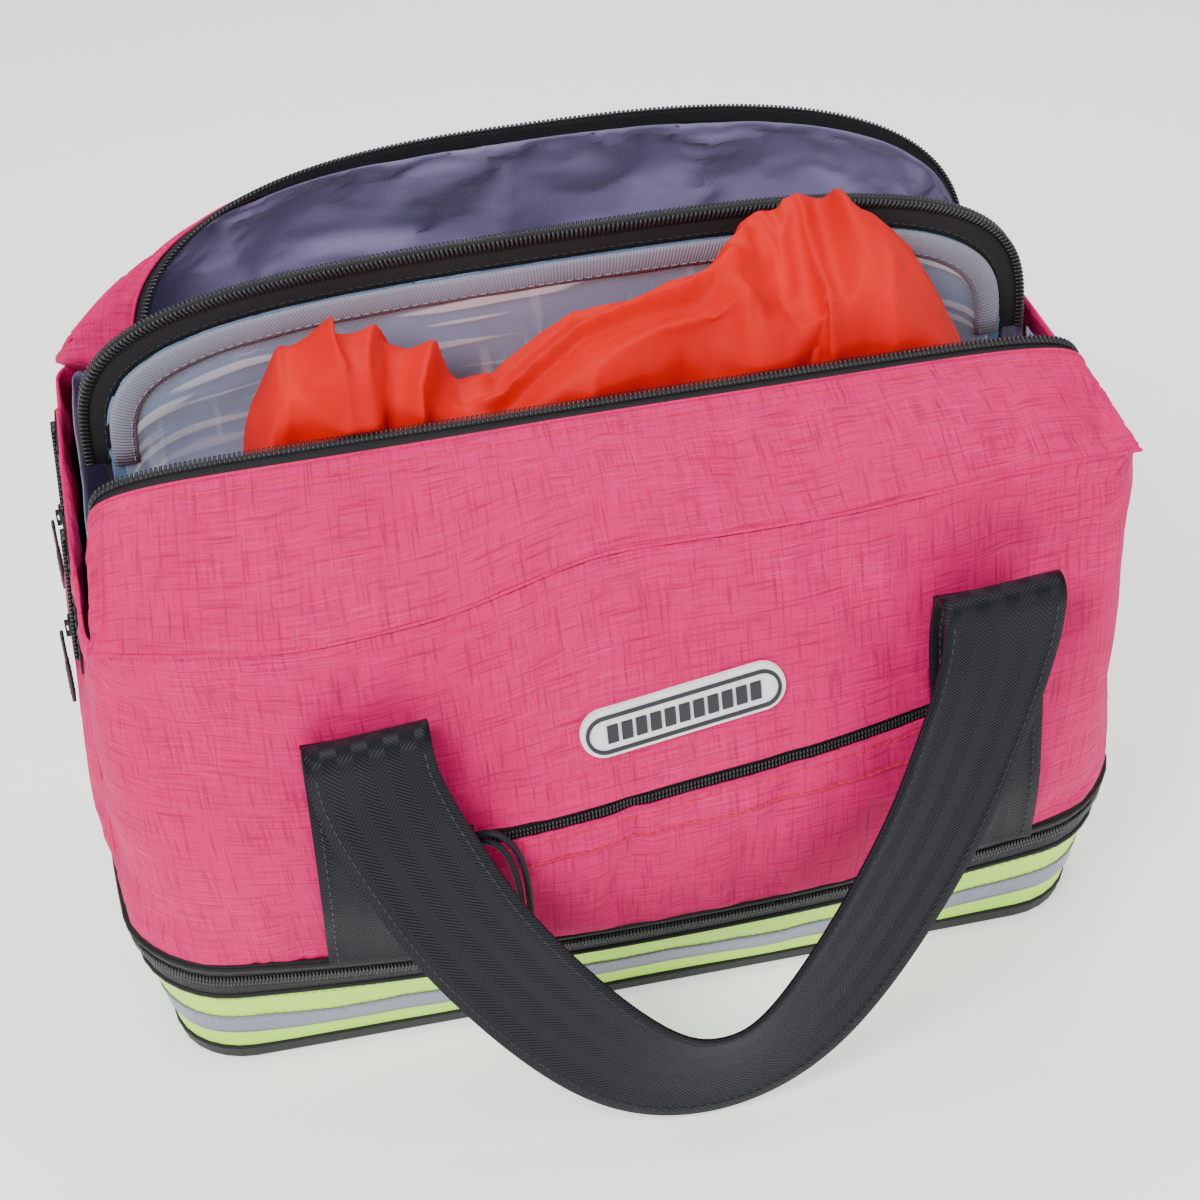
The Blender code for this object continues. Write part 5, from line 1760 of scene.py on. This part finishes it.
for dz, a, b in profile:
    for t in np.linspace(0, 2 * np.pi, count, endpoint=False):
        c, s = np.cos(t), np.sin(t)
        x, y = a * np.sign(c) * abs(c) ** 0.6, b * np.sign(s) * abs(s) ** 0.6
        points.append((toggle[0] + x * MM, toggle[1] + y * MM, toggle[2] + dz * MM))
for k in range(len(profile) - 1):
    for i in range(count):
        j = (i + 1) % count
        faces.append((k * count + i, k * count + j, (k + 1) * count + j, (k + 1) * count + i))
faces += [tuple(reversed(range(count))), tuple(range(len(points) - count, len(points)))]
toggle = [(np.array(points), faces)]
end = joined("pocket_toggle", toggle, pull_plastic, "pocket_pull", "pull_plastic", "pocket_pull_end")
modifier = end.modifiers.new("edges", "BEVEL")
modifier.width, modifier.segments, modifier.angle_limit = 0.35 * MM, 2, np.radians(35)

STRAND = 2.8 * MM
sides = np.cross(np.gradient(route, axis=0), (0, -1, 0.2))
sides /= np.linalg.norm(sides, axis=1, keepdims=True)
for tag, sign in (("left", -1), ("right", 1)):
    apart = np.interp(np.linspace(0, 1, len(route)), (0, 0.2, 0.5, 0.85, 1), (0.3, 0.62, 0.75, 0.56, 0.5))
    path = route + sign * sides * (apart * STRAND)[:, None]
    path[:, 1] -= 0.4 * MM * sign * np.sin(np.linspace(0, 5, len(route)))
    strand = tube_mesh(f"pocket_cord_{tag}", path, STRAND / 2, cord_braid, sides=12)
    length = float(np.linalg.norm(np.diff(path, axis=0), axis=1).sum())
    nodes = ["pocket_pull_cord"] if sign < 0 else []
    assign(strand, "pocket_pull", "cord", *nodes)
    facts = dict(stiffness="limp", lay="hanging", path=path, with_pieces=[end])
    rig.cord(strand, tuple(path[0]), length, STRAND, "fitting", **facts)
    print("cord strand", tag, round(length * 1000, 1), "mm")


# %% [markdown]
# ## The stowed blanket
# The blanket is one square of cloth, 0.8 m on a side. Nobody folds it neatly when it is pushed into a bag:
# the lower part lies in upright pleats, and the upper part is bunched over them. The pleats are passes
# that go up and down across the compartment. The bunched part is a heap with folds laid into it: steep
# folds on the left, long sweeps in the middle, and a hollow hood on the right whose side hangs in a
# curtain. A short cloth simulation then grows the threads, so that the folds buckle and soften.

# %% Heap of the bunched part
HEAP_X = [-176, -158, -146, -138, -124, -104, -82, -64, -50, -36, -20, 0]
HEAP_X = np.array(HEAP_X + [26, 50, 68, 82, 98, 116, 134, 150, 162, 170, 178]) * MM
HEAP_Z = [216, 226, 244, 276, 305, 311, 303, 296, 282, 279, 289, 300]
HEAP_Z = np.array(HEAP_Z + [304, 306, 311, 320, 325, 326, 321, 303, 282, 256, 236]) * MM


def stretched_folds(x, y, turn, wide, long, seed):
    """Ridged noise whose folds run at an angle across the heap: 1 on a ridge, 0 in a valley."""
    c, s = np.cos(np.radians(turn)), np.sin(np.radians(turn))
    along, across = c * x + s * y, -s * x + c * y
    across = across + 0.35 * wide * np.sin(along / long * 2.1 + seed)
    grid = np.stack([along / long, across / wide, np.full_like(x, seed)], axis=-1)
    values = soft_noise(grid, (1, 1, 1), seed)
    return 1 - np.clip(np.abs(values) * 2.6, 0, 1) ** 0.8


def heap(rows, cols):
    """The bunched sheet as a grid."""
    x = np.linspace(-178, 178, cols) * MM
    share = np.linspace(0, 1, rows)
    y = np.interp(share, (0, 0.24, 0.9, 1), (-50, -46, 7, 10)) * MM
    gx, gy = np.meshgrid(x, y)
    crest = np.interp(gx, HEAP_X, HEAP_Z)
    lean = np.interp(gx, (-0.14, -0.06, 0.03, 0.07, 0.12), (-0.020, -0.022, -0.020, -0.008, -0.004))
    fall = np.abs(gy - lean) / np.where(gy < lean, 0.040, 0.028)
    gz = crest - 0.026 * fall**1.7
    front_drop = ((1 - ease(share, 0.0, 0.28)) * 0.090)[:, None]
    back_drop = (ease(share, 0.88, 1.0) * 0.040)[:, None]
    gz = np.maximum(gz - front_drop - back_drop, 0.188)
    left = 1 - ease(gx, -0.060, -0.030)
    right = ease(gx, 0.064, 0.088)
    middle = 1 - left - right
    steep = stretched_folds(gx, gy, 62, 0.017, 0.075, 4.3)
    sweep = stretched_folds(gx, gy, 12, 0.015, 0.110, 11.6)
    curtain = stretched_folds(gx, gy, 84, 0.017, 0.090, 7.9)
    folds = left * steep * 13 + middle * sweep * 10 + right * curtain * 8
    inside = np.clip(np.sin(np.pi * np.linspace(0.0, 1.0, rows)), 0, 1)[:, None] ** 0.4
    gz += (folds - 6) * MM * inside
    ring = np.hypot((gx - 0.094) / 0.020, (gy + 0.022) / 0.020)
    gz += -17 * MM * np.exp(-(ring**2) * 1.4) + 7 * MM * np.exp(-((ring - 1.5) ** 2) * 5)
    roll = folds * MM * inside
    gy = gy - 0.55 * roll * (gy < 0.0)
    gx = gx + 0.35 * roll * (left - right)
    gy = np.minimum(gy, 10.5 * MM)
    return np.stack([gx, gy, gz], axis=-1)


bunch = heap(54, 176)
bunch = relax(bunch, 0.05, 0.0, 9 * MM, frames=16, bending=1.5, inward=9 * MM)
bunch[..., 1] = np.clip(bunch[..., 1], -54 * MM, 11 * MM)
print("bunched cloth: z", round(float(bunch[..., 2].min()), 3), "to", round(float(bunch[..., 2].max()), 3))


# %% Pleats below
def pleats(count, low, high):
    """Passes of cloth that go up and down across the compartment, as (y, height share) points."""
    profile = []
    for index, y in enumerate(np.linspace(-44, 3, count) * MM):
        zs = np.linspace(low, high, 14)
        profile += [(y, z) for z in (zs if index % 2 == 0 else zs[::-1])]
    return np.array(profile)


SHEET = 0.85
share = np.linspace(-1, 1, 80)
profile = pleats(10, 0.0, 1.0)
lower = np.zeros((len(profile), len(share), 3))
lower[..., 0] = 172 * MM * share
lower[..., 1] = profile[:, :1] + 1.0 * MM * np.sin(share * 9)
pleat_top = np.interp(lower[..., 0], HEAP_X, HEAP_Z) - 26 * MM - 0.5 * np.abs(lower[..., 1] + 20 * MM)
lower[..., 2] = 84 * MM + profile[:, 1:] * (np.maximum(pleat_top, 190 * MM) - 84 * MM)
upper = shell_mesh("blanket_cloth", bunch, 1.0 * MM, red_cloth)
smoother = upper.modifiers.new("soft", "SUBSURF")
smoother.levels = smoother.render_levels = 1
lower_piece = shell_mesh("blanket_pleats", lower, 0.9 * MM, red_cloth)
bpy.ops.object.select_all(action="DESELECT")
bpy.context.view_layer.objects.active = upper
bpy.ops.object.modifier_apply(modifier="soft")
for piece in (upper, lower_piece):
    piece.select_set(True)
bpy.ops.object.join()
assign(upper, "fire_blanket", "orange_red_cloth", "fire_blanket")
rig.sheet(upper, (SHEET, SHEET), "folded", ["bag_floor"])


# %% [markdown]
# ## What is left of the CAD model
# The stiff boards, the floor and the base panel are shown as they are. They get woven or moulded finishes
# that take their pattern from the object's own coordinates.

# %% Finish the carried-over solids
def solid_weave(name, colour, roughness, pitch):
    """A plain weave that needs no map: it reads the solid's own coordinates."""
    made, tree, shader = new_finish(name, colour, roughness, Sheen_Weight=0.1)
    place = add_node(tree, "ShaderNodeTexCoord").outputs["Object"]
    parts = add_node(tree, "ShaderNodeSeparateXYZ", {"Vector": place})
    waves = [maths(tree, "SINE", maths(tree, "MULTIPLY", parts.outputs[k], 6.2832 / pitch)) for k in "XYZ"]
    height = maths(tree, "ADD", maths(tree, "MULTIPLY", waves[0], waves[1]), waves[2])
    cloudy = add_node(tree, "ShaderNodeTexNoise", {"Vector": place, "Scale": 55.0, "Detail": 3.0})
    lifted = tuple(min(1.0, channel * 1.6 + 0.004) for channel in colour)
    tree.links.new(mix_colour(tree, cloudy.outputs["Fac"], colour, lifted), shader.inputs["Base Color"])
    raise_bump(tree, shader, height, 0.4, 0.12 * MM)
    return made


base_cloth = solid_weave("base_weave", (0.003, 0.003, 0.004), 0.8, 1.0 * MM)
floor_cloth = solid_weave("floor_weave", (0.06, 0.105, 0.19), 0.7, 1.2 * MM)
for node, finish in (
    ("base_panel", base_cloth),
    ("tray_wall", base_cloth),
    ("bag_floor", floor_cloth),
    ("base_board", board_plastic),
):
    for index in range(len(frame["nodes"][node].material_slots)):
        frame["nodes"][node].material_slots[index].material = finish
print("carried over: 4 solids")

# %% Sizes
sizes = {"cad": [list(corner) for corner in cad_box], "visual": [list(corner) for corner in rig.bounds()]}
with open("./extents.json", "w") as out:
    json.dump(sizes, out)
print("visual box:", sizes["visual"])
